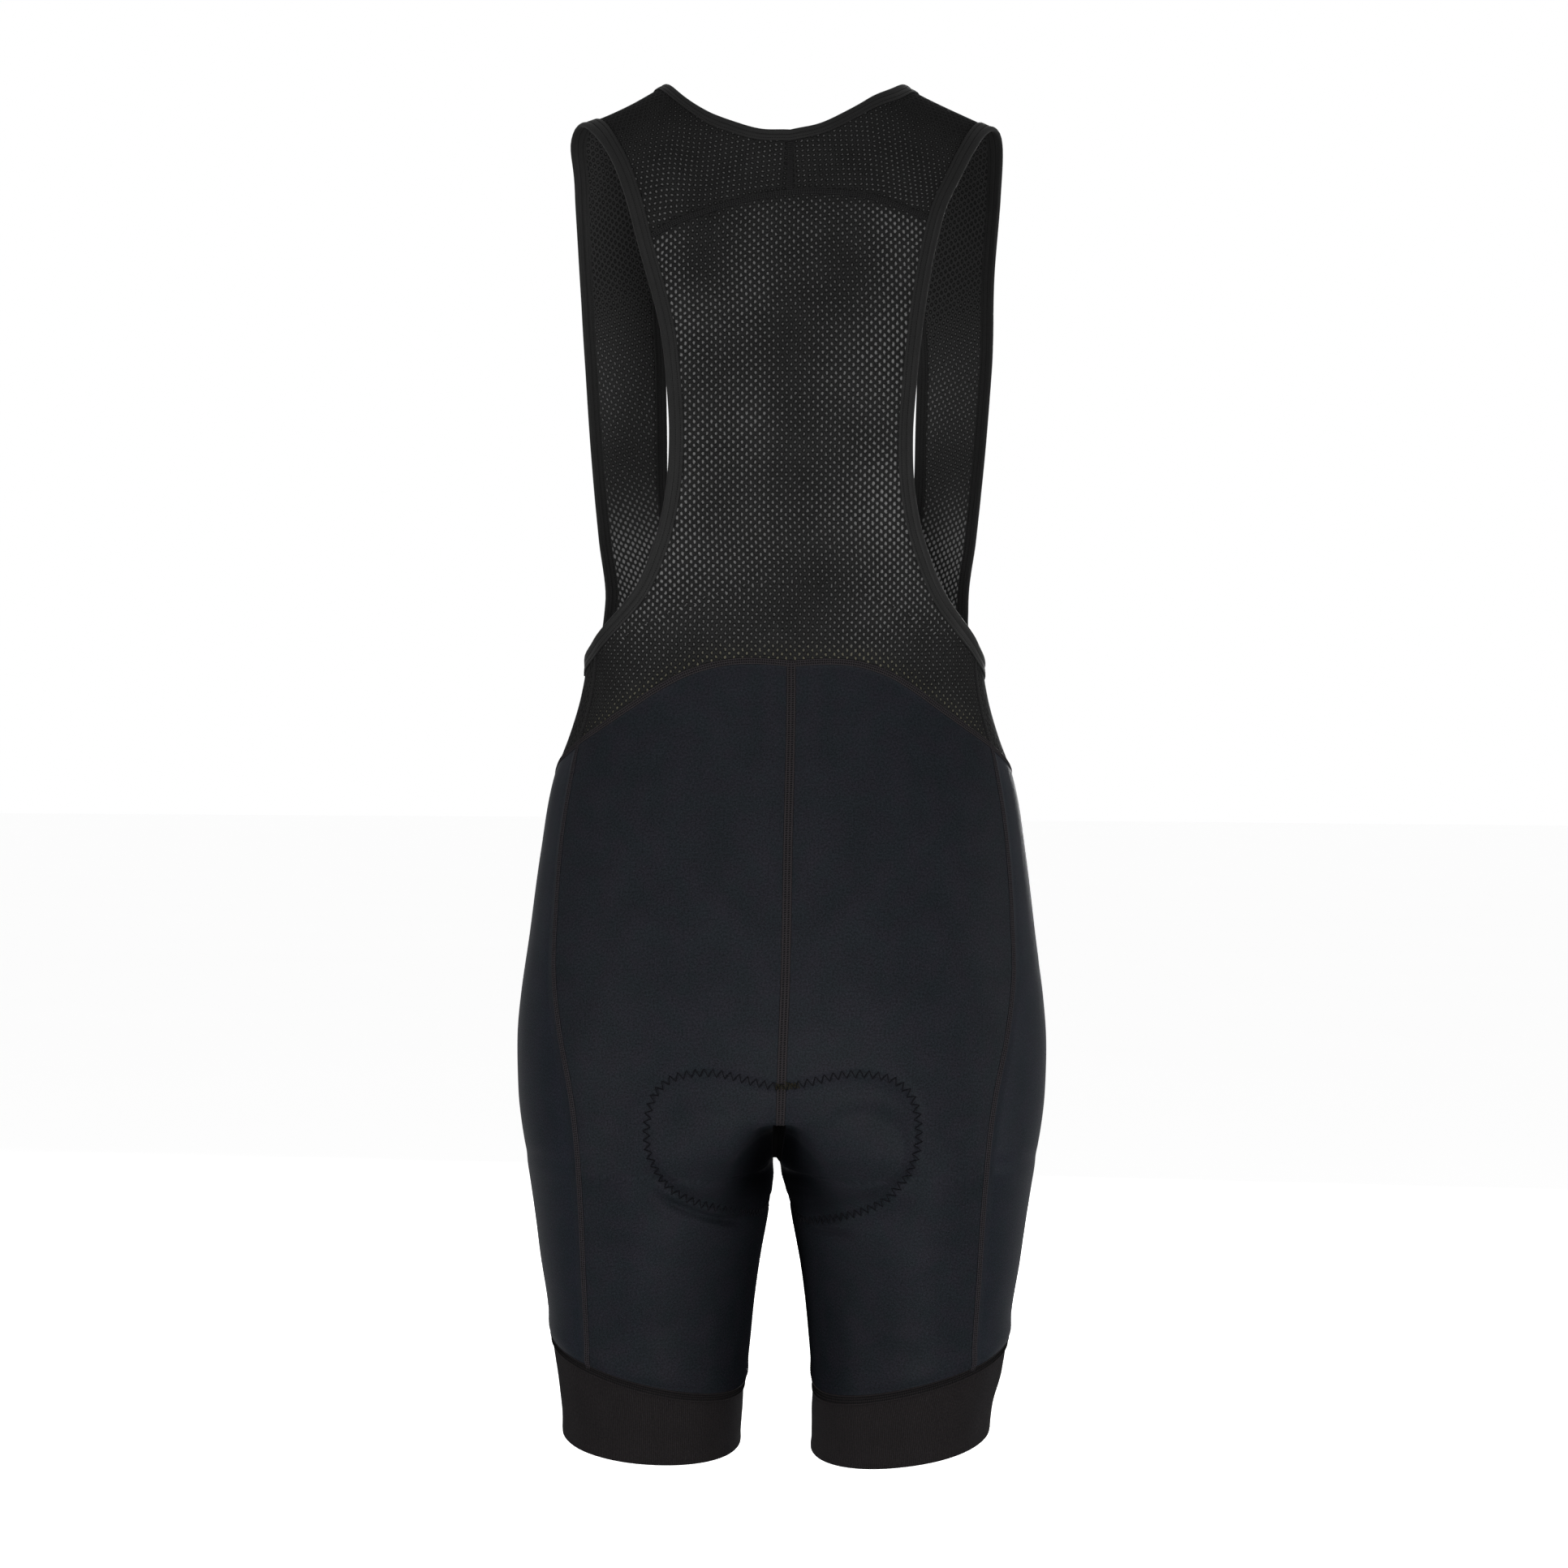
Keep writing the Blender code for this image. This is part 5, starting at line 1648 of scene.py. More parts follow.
@dataclass
class Panel:
    """One cut piece of cloth, with its seam gap at its edges.

    Attributes:
        node: the CAD node that it stands for.
        pairs: its grid of places on the figure.
        finish: its look.
        slot: the record's slot.
        side: LEFT, or RIGHT for a mirror image.
        grain: rows and columns where its grain runs straight.
        ease: how much longer it is worn than cut, across and along.
        one_sided: whether its grid stays on one side of the middle.
        sink: how far its outside lies below the outside of thick cloth.
        thickness: of its wall.
        piece: the object made.
        cut: its flat size, once it is made.
    """

    node: str
    pairs: Array
    finish: Finish
    slot: Slot
    side: int = LEFT
    grain: tuple[slice, slice] = (slice(None), slice(None))
    ease: tuple[float, float] = (1.12, 1.04)
    one_sided: bool = True
    sink: float = 0.0
    thickness: float = CLOTH
    piece: bpy.types.Object | None = None
    cut: Cut | None = None

    def build(self) -> None:
        """Makes the piece's closed wall."""
        outside = worn(self.pairs, self.side, -self.sink)
        flat = flattened(outside * (self.side, 1, 1), self.grain)
        outside = self.trimmed(outside)
        inside = outside - outward_at(self.pairs, self.side) * self.thickness
        if self.one_sided:
            for wall in (outside, inside):
                wall[..., 0] = self.side * np.maximum(wall[..., 0] * self.side, SEAM_GAP / 2)
        self.piece = shell(self.node + "_cloth", outside, inside, flat, self.finish)
        settle(self.piece, self.node, slot=self.slot)
        corner = outside[:-1, :-1]
        across, down = outside[:-1, 1:] - corner, outside[1:, :-1] - corner
        area = float(np.linalg.norm(np.cross(across, down), axis=-1).sum()) * MM * MM
        self.cut = Cut.of(flat, area, self.ease)

    @staticmethod
    def trimmed(points: Array) -> Array:
        """The grid with each of its four edges drawn in by half the seam gap."""
        points = points.copy()
        for flip in ((0, 1, 2), (1, 0, 2)):
            grid = points.transpose(flip)
            for edge, inner in ((0, 1), (-1, -2)):
                along = unit(np.gradient(grid[edge], axis=0))
                across = grid[inner] - grid[edge]
                across -= (across * along).sum(-1, keepdims=True) * along
                grid[edge] += unit(across) * SEAM_GAP / 2
        return points

    def declare(self, trims: Sequence[bpy.types.Object]) -> None:
        """Args:
            trims: the seams and stitches on it; not used.
        """
        LOG.info("%s cut %s", self.node, self.cut)


def seam_turns(places: Sequence[Place]) -> Callable[[Any], Array]:
    """The turn, from the middle of the back, of a long seam at each level."""
    line = Smooth([place.height for place in places], [place.across for place in places])
    face = places[0].face
    return lambda level: FIGURE.turn_at(line(level)[..., 0], np.asarray(level, float), face)


def refined(values: Sequence[float]) -> Array:
    """The values with FINE - 1 more, evenly between each two."""
    values = np.asarray(values, float)
    at = np.linspace(0, len(values) - 1, (len(values) - 1) * FINE + 1)
    return np.interp(at, np.arange(len(values)), values)


@dataclass
class Shorts:
    """Seat, side and front panels of stretch cloth, in mirrored pairs."""

    panels: list[Panel] = field(default_factory=list)
    waist_turns: Array | None = None
    leg_turns: Array | None = None

    @staticmethod
    def levels(top: float, foot: float) -> Array:
        """Levels of the rows in a column whose ends are at top and foot."""
        rows = refined(SHORTS_ROWS)
        upper, lower = (
            straight + (rows - straight) * (end - straight) / (row - straight)
            for straight, end, row in (
                (STRAIGHT_TOP, top, rows[0]), (STRAIGHT_FOOT, foot, rows[-1])
            )
        )
        return np.where(rows > STRAIGHT_TOP, upper, np.where(rows < STRAIGHT_FOOT, lower, rows))

    def edge(self, turns_at: Callable[[Any], Array], top_turn: float) -> Array:
        """Turns of a long edge of a panel, row by row."""
        foot_turn = float(np.ravel(turns_at(SHORTS_ROWS[-1]))[0])
        foot = float(FIGURE.leg_cut(BAND_SEAM, foot_turn))
        levels = self.levels(float(FIGURE.waist(top_turn)[0]), foot)
        return np.asarray(turns_at(levels), float).reshape(-1)

    def panel(self, start: Array, end: Array, columns: int) -> Array:
        """Grid of places between two long edges."""
        share = np.linspace(0, 1, columns * FINE + 1)
        turns = start[:, None] * (1 - share) + end[:, None] * share
        tops = FIGURE.waist(turns[0])[:, 0]
        feet = FIGURE.leg_cut(BAND_SEAM, turns[-1])
        levels = np.stack([self.levels(top, foot) for top, foot in zip(tops, feet)], 1)
        return np.stack([turns, FIGURE.run_of(levels)], -1)

    def build(self) -> None:
        """Makes the six panels."""
        middle_back = self.edge(FIGURE.middle_turn, 0.0)
        middle_front = self.edge(lambda level: 180 - FIGURE.middle_turn(level), 180.0)
        side_back = self.edge(seam_turns(SIDE_BACK_SEAM), FIGURE.round_turn(SIDE_BACK_SEAM[0]))
        side_front = self.edge(seam_turns(SIDE_FRONT_SEAM), FIGURE.round_turn(SIDE_FRONT_SEAM[0]))
        grids = {
            "seat": (self.panel(middle_back, side_back, SEAT_COLUMNS), SHORTS_CLOTH),
            "side": (self.panel(side_back, side_front, SIDE_COLUMNS), SIDE_CLOTH),
            "front": (self.panel(side_front, middle_front, FRONT_COLUMNS), SHORTS_CLOTH),
        }
        for name, (pairs, finish) in grids.items():
            for side, word in SIDES:
                panel = Panel(f"{name}_{word}", pairs, finish, Slot.SHORTS, side)
                panel.build()
                self.panels.append(panel)
        first, *rest = (pairs[..., 0] for pairs, _ in grids.values())
        turns = np.concatenate([first, *(row[:, 1:] for row in rest)], 1)
        self.waist_turns, self.leg_turns = turns[0], turns[-1]


@dataclass
class LegBand:
    """The ribbed band round one leg, a closed tube with a soft hem.

    Attributes:
        turns: its stations round the leg.
        side: LEFT or RIGHT.
        grip: how far it draws the leg in.
    """

    turns: Array
    side: int
    grip: float = 0.7
    rows: int = 30
    piece: bpy.types.Object | None = None

    def build(self) -> None:
        """Makes the band."""
        turns = self.turns[:-1]
        share = np.linspace(0, 1, self.rows + 1)[:, None]
        top, hem = FIGURE.leg_cut(BAND_SEAM, turns), FIGURE.leg_cut(HEM, turns)
        levels = top * (1 - share) + hem * share
        pairs = np.stack([np.broadcast_to(turns, levels.shape), FIGURE.run_of(levels)], -1)
        length = (top - hem).mean()
        down = share[:, 0] * length
        sink = -self.grip * ramp(down, 0, 4) + 0.5 * bell((down - length) / 5)
        outside = worn(pairs, self.side, np.broadcast_to(sink[:, None], levels.shape))
        outside[0] += unit(outside[1] - outside[0]) * SEAM_GAP / 2
        inside = outside - outward_at(pairs, self.side) * CLOTH
        middle = (outside[-1] + inside[-1]) / 2
        lip = middle + unit(outside[-1] - outside[-2]) * 0.5
        outside[-1], inside[-1] = (outside[-1] * 3 + middle) / 4, (inside[-1] * 3 + middle) / 4
        rings = np.concatenate([outside, lip[None], inside[::-1]]).transpose(1, 0, 2)
        around = lengths_along(looped(outside[0])) * MM
        across = [*down, length + CLOTH / 2, *(length + CLOTH + down), 2 * (length + CLOTH)]
        across = np.array(across) * MM
        node = "leg_band_" + dict(SIDES)[self.side]
        self.piece = tube(node + "_cloth", rings, (around, across), BAND_CLOTH, True)
        settle(self.piece, node, slot=Slot.BAND)


class Upper:
    """The lines that the pieces above the waist share, station by station."""

    def __init__(self, waist_turns: Array) -> None:
        """Reads the outlines at the stations.

        Args:
            waist_turns: turns of the columns at the waist seam.
        """
        self.armhole = Outline(ARMHOLE, closed=True)
        self.neck = Outline(NECKLINE)
        yoke = Outline(YOKE_SEAM)
        self.waist_turns = waist_turns
        armhole, end = self.armhole, self.armhole.lengths[-1]
        side_head = armhole.length_where(lambda turn, run: turn < SIDE_SEAM_HEAD_TURN)
        yoke_run = FIGURE.located(YOKE_SEAM[-1])[1]
        yoke_end = armhole.length_where(lambda turn, run: run < yoke_run)
        ridge = armhole.length_where(lambda turn, run: run <= 0)
        strap_foot = armhole.length_where(lambda turn, run: run < -FIGURE.run_of(STRAP_FOOT))
        rise = np.linspace(0, 1, BACK_ARMHOLE_ROWS * FINE + 1) ** ARMHOLE_CROWDING
        rows = (SHOULDER_ROWS, STRAP_ROWS, STRAP_FOOT_ROWS)
        strap = spread((yoke_end, ridge, strap_foot, end + side_head), rows)
        stations = np.concatenate([side_head + (yoke_end - side_head) * rise, strap[1:]])
        loop = self.armhole_at(stations)
        self.armhole_outline = loop
        armhole_edge = FIGURE.inset(loop, ARMHOLE_WIDTH - TAPE_BITE, closed=True)
        self.back_edge = armhole_edge[: BACK_ARMHOLE_ROWS * FINE + 1]
        self.strap_edge = armhole_edge[BACK_ARMHOLE_ROWS * FINE :]

        yoke_ends = self.back_edge[-1]
        reach = yoke.length_where(lambda turn, run: turn > yoke_ends[0])
        count = SEAT_COLUMNS * FINE + 1
        yoke_line = yoke.at(np.linspace(0, reach, count))
        yoke_line += np.linspace(0, 1, count)[:, None] ** 2 * (yoke_ends - yoke_line[-1])
        self.yoke_line = yoke_line

        neck = self.neck
        yoke_neck = FIGURE.located(YOKE_NECK)[0]
        back_share = neck.length_where(lambda turn, run: turn > yoke_neck)
        corner = neck.length_where(lambda turn, run: run <= 0)
        neck_foot = neck.length_where(lambda turn, run: run < -FIGURE.run_of(NECK_FOOT))
        marks = (0, back_share, corner, neck_foot, neck.lengths[-1])
        self.neck_outline = neck.at(spread(marks, (SEAT_COLUMNS, *rows)))
        self.neck_edge = FIGURE.inset(self.neck_outline, TAPE_BITE - NECK_WIDTH)
        self.neck_edge[[0, -1], 0] = 0

    def armhole_at(self, lengths: Array) -> Array:
        """Pairs of the armhole at lengths that may run on past its lowest point."""
        end = self.armhole.lengths[-1]
        pairs = self.armhole.at(np.where(lengths > end, lengths - end, lengths))
        past = lengths > end
        pairs[past] = np.array([180, 0]) + pairs[past] * (-1, -1)
        return pairs


@dataclass
class MeshTop:
    """The lower back, and the two straps with their halves of the yoke.

    Attributes:
        upper: the lines that they share.
    """

    upper: Upper
    panels: list[Panel] = field(default_factory=list)
    side_seam: Array | None = None
    front_seam: Array | None = None

    def back(self) -> Array:
        """Grid of the lower back, from the waist seam to the yoke seam."""
        upper = self.upper
        foot = np.array([FIGURE.round_turn(SIDE_SEAM_FOOT), FIGURE.run_of(SIDE_SEAM_FOOT.height)])
        count = SIDE_SEAM_ROWS * FINE
        share = np.linspace(0, 1, count + 1)[:-1, None]
        side_seam = foot * (1 - share) + upper.back_edge[0] * share
        self.side_seam = np.concatenate([side_seam, upper.back_edge[:1]])
        right = np.concatenate([side_seam, upper.back_edge])
        left = right * (-1, 1)
        waist = upper.waist_turns[: SEAT_COLUMNS * FINE + 1]
        waist = np.concatenate([-waist[:0:-1], waist])
        weights = (waist / waist[-1] + 1) / 2
        flat = left[:, None] * (1 - weights[:, None]) + right[:, None] * weights[:, None]
        waist_row = np.stack([waist, FIGURE.run_of(FIGURE.waist(np.abs(waist))[:, 0])], -1)
        yoke = upper.yoke_line
        yoke_row = np.concatenate([yoke[:0:-1] * (-1, 1), yoke])
        climb = np.linspace(0, 1, len(right))[:, None, None]
        rise = waist_row - flat[0]
        level_ended = rise[SEAT_COLUMNS * FINE] * np.sin(np.pi * weights[:, None]) ** 2
        settled = np.minimum(climb * (len(right) - 1) / count, 1)
        rise = rise * (1 - settled) + level_ended * settled
        return flat + (1 - climb) * rise + climb * (yoke_row - flat[-1])

    def strap(self) -> Array:
        """Grid of the left strap, from the yoke seam over the shoulder to the waist seam."""
        upper = self.upper
        foot = np.array([
            180 - FIGURE.round_turn(SIDE_SEAM_FOOT), -FIGURE.run_of(SIDE_SEAM_FOOT.height)
        ])
        share = np.linspace(0, 1, SIDE_SEAM_ROWS * FINE + 1)[1:, None]
        side_seam = upper.strap_edge[-1] * (1 - share) + foot * share
        outer = np.concatenate([upper.yoke_line, upper.strap_edge[1:], side_seam])
        middle = np.array([0.0, -FIGURE.run_of(WAIST_SEAM[-1].height)])
        front_seam = upper.neck_edge[-1] * (1 - share) + middle * share
        self.front_seam = np.concatenate([upper.neck_edge[-1:], front_seam])
        inner = np.concatenate([upper.neck_edge, front_seam])
        turns = upper.waist_turns[SEAT_COLUMNS * FINE :]
        waist_row = np.stack([180 - turns, -FIGURE.run_of(FIGURE.waist(turns)[:, 0])], -1)
        weights = ((turns - turns[0]) / (turns[-1] - turns[0]))[:, None]
        flat = outer[:, None] * (1 - weights) + inner[:, None] * weights
        pull = np.linspace(0, 1, len(outer))[:, None, None] ** 3
        return flat + pull * (waist_row - flat[-1])

    def build(self) -> None:
        """Makes the three panels."""
        thin = {"sink": MESH_SINK, "thickness": MESH_THICKNESS}
        back = Panel("back_mesh", self.back(), MESH_CLOTH, Slot.MESH, ease=(1.08, 1.06),
                     one_sided=False, **thin)
        strap = self.strap()
        chest = slice((SEAT_COLUMNS + SHOULDER_ROWS + 2) * FINE, (SEAT_COLUMNS + 12) * FINE)
        self.panels = [back] + [
            Panel(f"strap_{word}", strap, MESH_CLOTH, Slot.MESH, side, (chest, slice(None)),
                  (1.05, 1.1), **thin)
            for side, word in SIDES
        ]
        for panel in self.panels:
            panel.build()


@dataclass
class Binding:
    """A tape folded over a cut edge, with a rolled fold, a groove and two rows of stitches.

    Attributes:
        node: the CAD node that it stands for.
        line: the finished edge, as pairs.
        width: from its fold to its stitched edge.
        inwards: 1 where the cloth is to the line's right as seen from outside, or else -1.
        sides: the sides that the line is made on, joined into one loop where there are two.
        inner_row: share of the width at which the first row of stitches runs.
        outer_row: the same for the second row.
        pitch: from one stitch to the next.
        stitch: length of each stitch.
        thread: thickness of the thread.
        pieces: the objects made.
    """

    node: str
    line: Array
    width: float
    inwards: int
    sides: tuple[int, ...]
    inner_row: float = 0.46
    outer_row: float = 0.8
    pitch: float = 1.55
    stitch: float = 0.5
    thread: float = 0.55
    pieces: list[bpy.types.Object] = field(default_factory=list)

    def section(self) -> Array:
        """The folded tape's closed cross-section: across from the fold, and height."""
        w = self.width
        top = [
            (w, -0.1), (w + 0.05, 0.4), (w - 0.25, 0.62), (0.87 * w, 0.7),
            (self.outer_row * w, 0.58), (0.73 * w, 0.74), (0.6 * w, 0.76), (0.52 * w, 0.62),
            (self.inner_row * w, 0.3), (0.4 * w, 0.68), (0.31 * w, 0.98), (0.2 * w, 1.06),
            (0.1 * w, 0.92), (0.03 * w, 0.5), (-0.1, -0.1),
        ]
        middle = -CLOTH / 2
        gap = MESH_THICKNESS / 2 + 0.06
        low = [(s, 2 * middle - h) for s, h in top[::-1]]
        inner = [
            (w - 0.3, middle - gap), (3.4, middle - gap), (2.7, middle), (3.4, middle + gap),
            (w - 0.3, middle + gap),
        ]
        return np.array([*top, (-0.25, middle), *low, *inner])

    def offset(self, across: float, height: float, side: int) -> Array:
        """Points along the tape at one place of its section, on one side."""
        pairs = FIGURE.inset(self.line, self.inwards * across, closed=len(self.sides) == 1)
        if len(self.sides) == 2:
            pairs[[0, -1], 0] = 0
        return worn(pairs, side, height)

    def loop(self, across: float, height: float) -> Array:
        """The whole line at one place of the section, without its first point again."""
        if len(self.sides) == 1:
            return self.offset(across, height, self.sides[0])[:-1]
        left, right = (self.offset(across, height, side) for side in self.sides)
        return np.concatenate([left, right[-2:0:-1]])

    def build(self) -> None:
        """Makes the tape, and sews it on both faces."""
        section = self.section()
        rings = np.stack([self.loop(s, h) for s, h in section], 1)
        along, around = (lengths_along(looped(line)) * MM for line in (rings[:, 0], section))
        tape = tube(self.node + "_tape", rings, (along, around), TAPE, True)
        settle(tape, self.node, slot=Slot.BINDING)
        stitches = self.sew()
        settle(stitches)
        self.pieces = [tape, stitches]

    def sew(self) -> bpy.types.Object:
        """Sews two rows on each face."""
        stitches = []
        for share, top in ((self.inner_row, 0.36), (self.outer_row, 0.6)):
            for height in (top, -CLOTH - top):
                line, under = (
                    looped(self.loop(share * self.width, level))
                    for level in (height, height - math.copysign(0.5, height))
                )
                stitches.append(stitch_along(line, line - under, self.pitch, self.stitch))
        name = self.node + "_stitches"
        return FINE_NEEDLE.sew(name, np.concatenate(stitches), self.thread, DARK_THREAD)


def stitch_along(line: Array, outward: Array, pitch: float, length: float) -> Array:
    """Stitches in a row along a line.

    Args:
        line: points of the line, in millimetres.
        outward: the direction away from the cloth at each.
        pitch: from one stitch to the next.
        length: of each stitch.

    Returns:
        Start, end and outward direction of each stitch.
    """
    reach = lengths_along(line)
    count = max(1, int(reach[-1] / pitch))
    starts = (np.arange(count) + 0.5) * (reach[-1] / count) - length / 2
    rows = ((starts, line), (starts + length, line), (starts, outward))
    return np.stack([read(at, reach, values) for at, values in rows], 1)


@dataclass
class Seam:
    """A flat seam: lines of cover thread over both faces of the join, with rungs across them.

    Attributes:
        name: its name.
        line: where it runs, as pairs.
        cover: the look of its cover, which also sets how far apart its lines are.
        thread: the rungs' look.
        side: LEFT or RIGHT, or 0 for a seam on the middle plane.
        lines: how many lines of thread it has.
        crown: height of its middle line above the cloth.
        sink: how far the cloth lies below the outside of thick cloth.
        closed: whether it comes round to its start.
        pitch: from one rung to the next.
        step: from one cross-section of the cover to the next.
        pieces: the objects made.
    """

    name: str
    line: Array
    cover: FlatlockCover = SEAM_COVER
    thread: SpunThread = SEAM_THREAD
    side: int = LEFT
    lines: int = 3
    crown: float = 0.5
    sink: float = 0.0
    closed: bool = False
    pitch: float = 1.5
    step: float = 2.5
    pieces: list[bpy.types.Object] = field(default_factory=list)

    def row(self, across: float, height: float, line: Array | None = None) -> Array:
        """Points along the seam at one place across it."""
        line = self.line if line is None else line
        side = self.side or (LEFT if across >= 0 else RIGHT)
        reach = abs(across) if self.side == 0 else across
        sideways = unit(np.cross(FIGURE.along(line, self.closed), FIGURE.normals(*line.T)))
        if self.side == 0:
            sideways = sideways * np.where(sideways[:, :1] < 0, -1, 1)
            if across == 0:
                points = worn(line, LEFT, 0.0)
                outward = FIGURE.normals(*line.T) * (0, 1, 1)
                points = points + unit(outward) * height
                return points * (0, 1, 1)
        return worn(FIGURE.moved(line, sideways * reach), side, height)

    def ridges(self) -> list[float]:
        """Where the lines of thread run, across the seam."""
        middle = (self.lines - 1) / 2
        return [(i - middle) * self.cover.spacing for i in range(self.lines)]

    def section(self) -> Array:
        """The cover's closed cross-section: across, height, and across as its look reads it."""
        gap, half = self.cover.spacing, self.ridges()[-1] + 0.32 * self.cover.spacing + 0.2
        points = [(-half, -0.05)]
        for at in self.ridges():
            top = self.crown if abs(at) < 0.1 * gap else 0.45
            points += [(at - 0.25 * gap, 0.3), (at, top), (at + 0.25 * gap, 0.3)]
            points.append((at + 0.5 * gap, 0.14))
        points[-1] = (half, -0.05)
        under = [(0.5 * half, -0.03), (0.0, -0.03), (-0.5 * half, -0.03)]
        return np.array([(s, h, s) for s, h in points] + [(s, h, 50 + s) for s, h in under])

    def build(self) -> None:
        """Makes the covers and the rungs."""
        line = self.line
        self.line = FIGURE.evenly(line, self.step)
        section = self.section()
        for inside, word in ((False, "cover"), (True, "cover_inside")):
            heights = self.sink - CLOTH - section[:, 1] if inside else section[:, 1] - self.sink
            rings = np.stack([self.row(s, h) for s, h in zip(section[:, 0], heights)], 1)
            if self.closed:
                rings = rings[:-1]
            along = np.arange(len(rings) + 1) * self.step * MM
            around = np.append(section[:, 2], section[0, 2]) * MM
            piece = tube(f"{self.name}_{word}", rings, (along, around), self.cover, self.closed)
            self.pieces.append(settle(piece))
        self.pieces.append(settle(self.sew(FIGURE.evenly(line, self.pitch))))

    def sew(self, line: Array) -> bpy.types.Object:
        """Sews a rung from each line of thread to the next, stitch by stitch."""
        height = 0.34 - self.sink
        rows = [self.row(at, height, line) for at in self.ridges()]
        outward = [self.row(at, height + 1, line) - row for at, row in zip(self.ridges(), rows)]
        rungs = [
            np.stack([first[:-1], 0.75 * second[:-1] + 0.25 * second[1:], up[:-1]], 1)
            for first, second, up in zip(rows, rows[1:], outward)
        ]
        return FINE_NEEDLE.sew(self.name + "_stitches", np.concatenate(rungs), 0.62, self.thread)


@dataclass
class Seams:
    """Every seam of the garment."""

    shorts: Shorts
    top: MeshTop
    ledge: float = -698.5
    seams: list[Seam] = field(default_factory=list)

    @staticmethod
    def level_line(
        turns_at: Callable[[Any], Array], top: float, foot: float | None = None
    ) -> Array:
        """A long seam.

        Args:
            turns_at: its turns at levels.
            top: the level that it starts at.
            foot: the level that it ends at, or else it runs down to the leg band.

        Returns:
            Its pairs.
        """
        if foot is None:
            foot_turn = float(np.ravel(turns_at(SHORTS_ROWS[-1]))[0])
            foot = float(FIGURE.leg_cut(BAND_SEAM, foot_turn))
        levels = np.linspace(top, foot, 160)
        turns = np.asarray(turns_at(levels), float).reshape(-1)
        return np.stack([turns, FIGURE.run_of(levels)], -1)

    def build(self) -> None:
        """Makes the seams."""
        upper, crotch = self.top.upper, CROTCH + 0.5
        waist_at = lambda turn: float(FIGURE.waist(turn)[0])
        neck_start = np.array([[0.0, FIGURE.inset(upper.neck_outline, -NECK_WIDTH)[0, 1]]])
        yoke_middle = FIGURE.evenly(np.concatenate([neck_start, upper.yoke_line[:1]]), 4)
        turns, legs = self.shorts.waist_turns, self.shorts.leg_turns
        waist = np.stack([turns, FIGURE.run_of(FIGURE.waist(turns)[:, 0])], -1)
        band = np.stack([legs, FIGURE.run_of(FIGURE.leg_cut(BAND_SEAM, legs))], -1)
        back, front = FIGURE.middle_turn, lambda level: 180 - FIGURE.middle_turn(level)
        side_back, side_front = seam_turns(SIDE_BACK_SEAM), seam_turns(SIDE_FRONT_SEAM)
        inside = lambda level: np.full(np.shape(level), -90.0)
        front_top = waist_at(FIGURE.round_turn(SIDE_FRONT_SEAM[0]))
        plain = {"cover": SEAM_COVER, "thread": SEAM_THREAD}
        # Below the ledge the seam is drawn near black, as painted shade of the hollow between the
        # thighs.
        under = {"cover": PAINTED_SHADE_COVER, "thread": PAINTED_SHADE_THREAD}
        side = {"cover": SIDE_COVER}
        gripped = {"cover": BAND_COVER, "thread": DARK_THREAD, "lines": 4, "closed": True}
        mesh = {"cover": MESH_COVER, "thread": MESH_THREAD, "sink": MESH_SINK, "crown": 0.8}
        single = (
            ("seat_seam", self.level_line(back, waist_at(0.0), self.ledge), plain),
            ("under_seam", self.level_line(back, self.ledge, crotch), under),
            ("fly_seam", self.level_line(front, waist_at(180.0), crotch), plain),
            ("yoke_middle_seam", yoke_middle, mesh),
            ("chest_middle_seam", self.top.front_seam, mesh),
        )
        paired = (
            ("waist_seam", waist, {"cover": NARROW_COVER}),
            ("side_back_seam", self.level_line(side_back, SIDE_SEAM_FOOT.height), side),
            ("side_front_seam", self.level_line(side_front, front_top), side),
            ("inner_leg_seam", self.level_line(inside, CROTCH - 3), side),
            ("leg_band_seam", band, gripped),
            ("yoke_seam", upper.yoke_line, mesh),
            ("mesh_side_seam", self.top.side_seam, mesh),
        )
        self.seams = [Seam(name, line, side=0, **look) for name, line, look in single] + [
            Seam(f"{name}_{word}", line, side=on, **look)
            for on, word in SIDES
            for name, line, look in paired
        ]
        for seam in self.seams:
            seam.build()

    def on(self, word: str) -> list[bpy.types.Object]:
        """The pieces of the seams whose names start with a word."""
        return [piece for seam in self.seams if seam.name.startswith(word) for piece in seam.pieces]


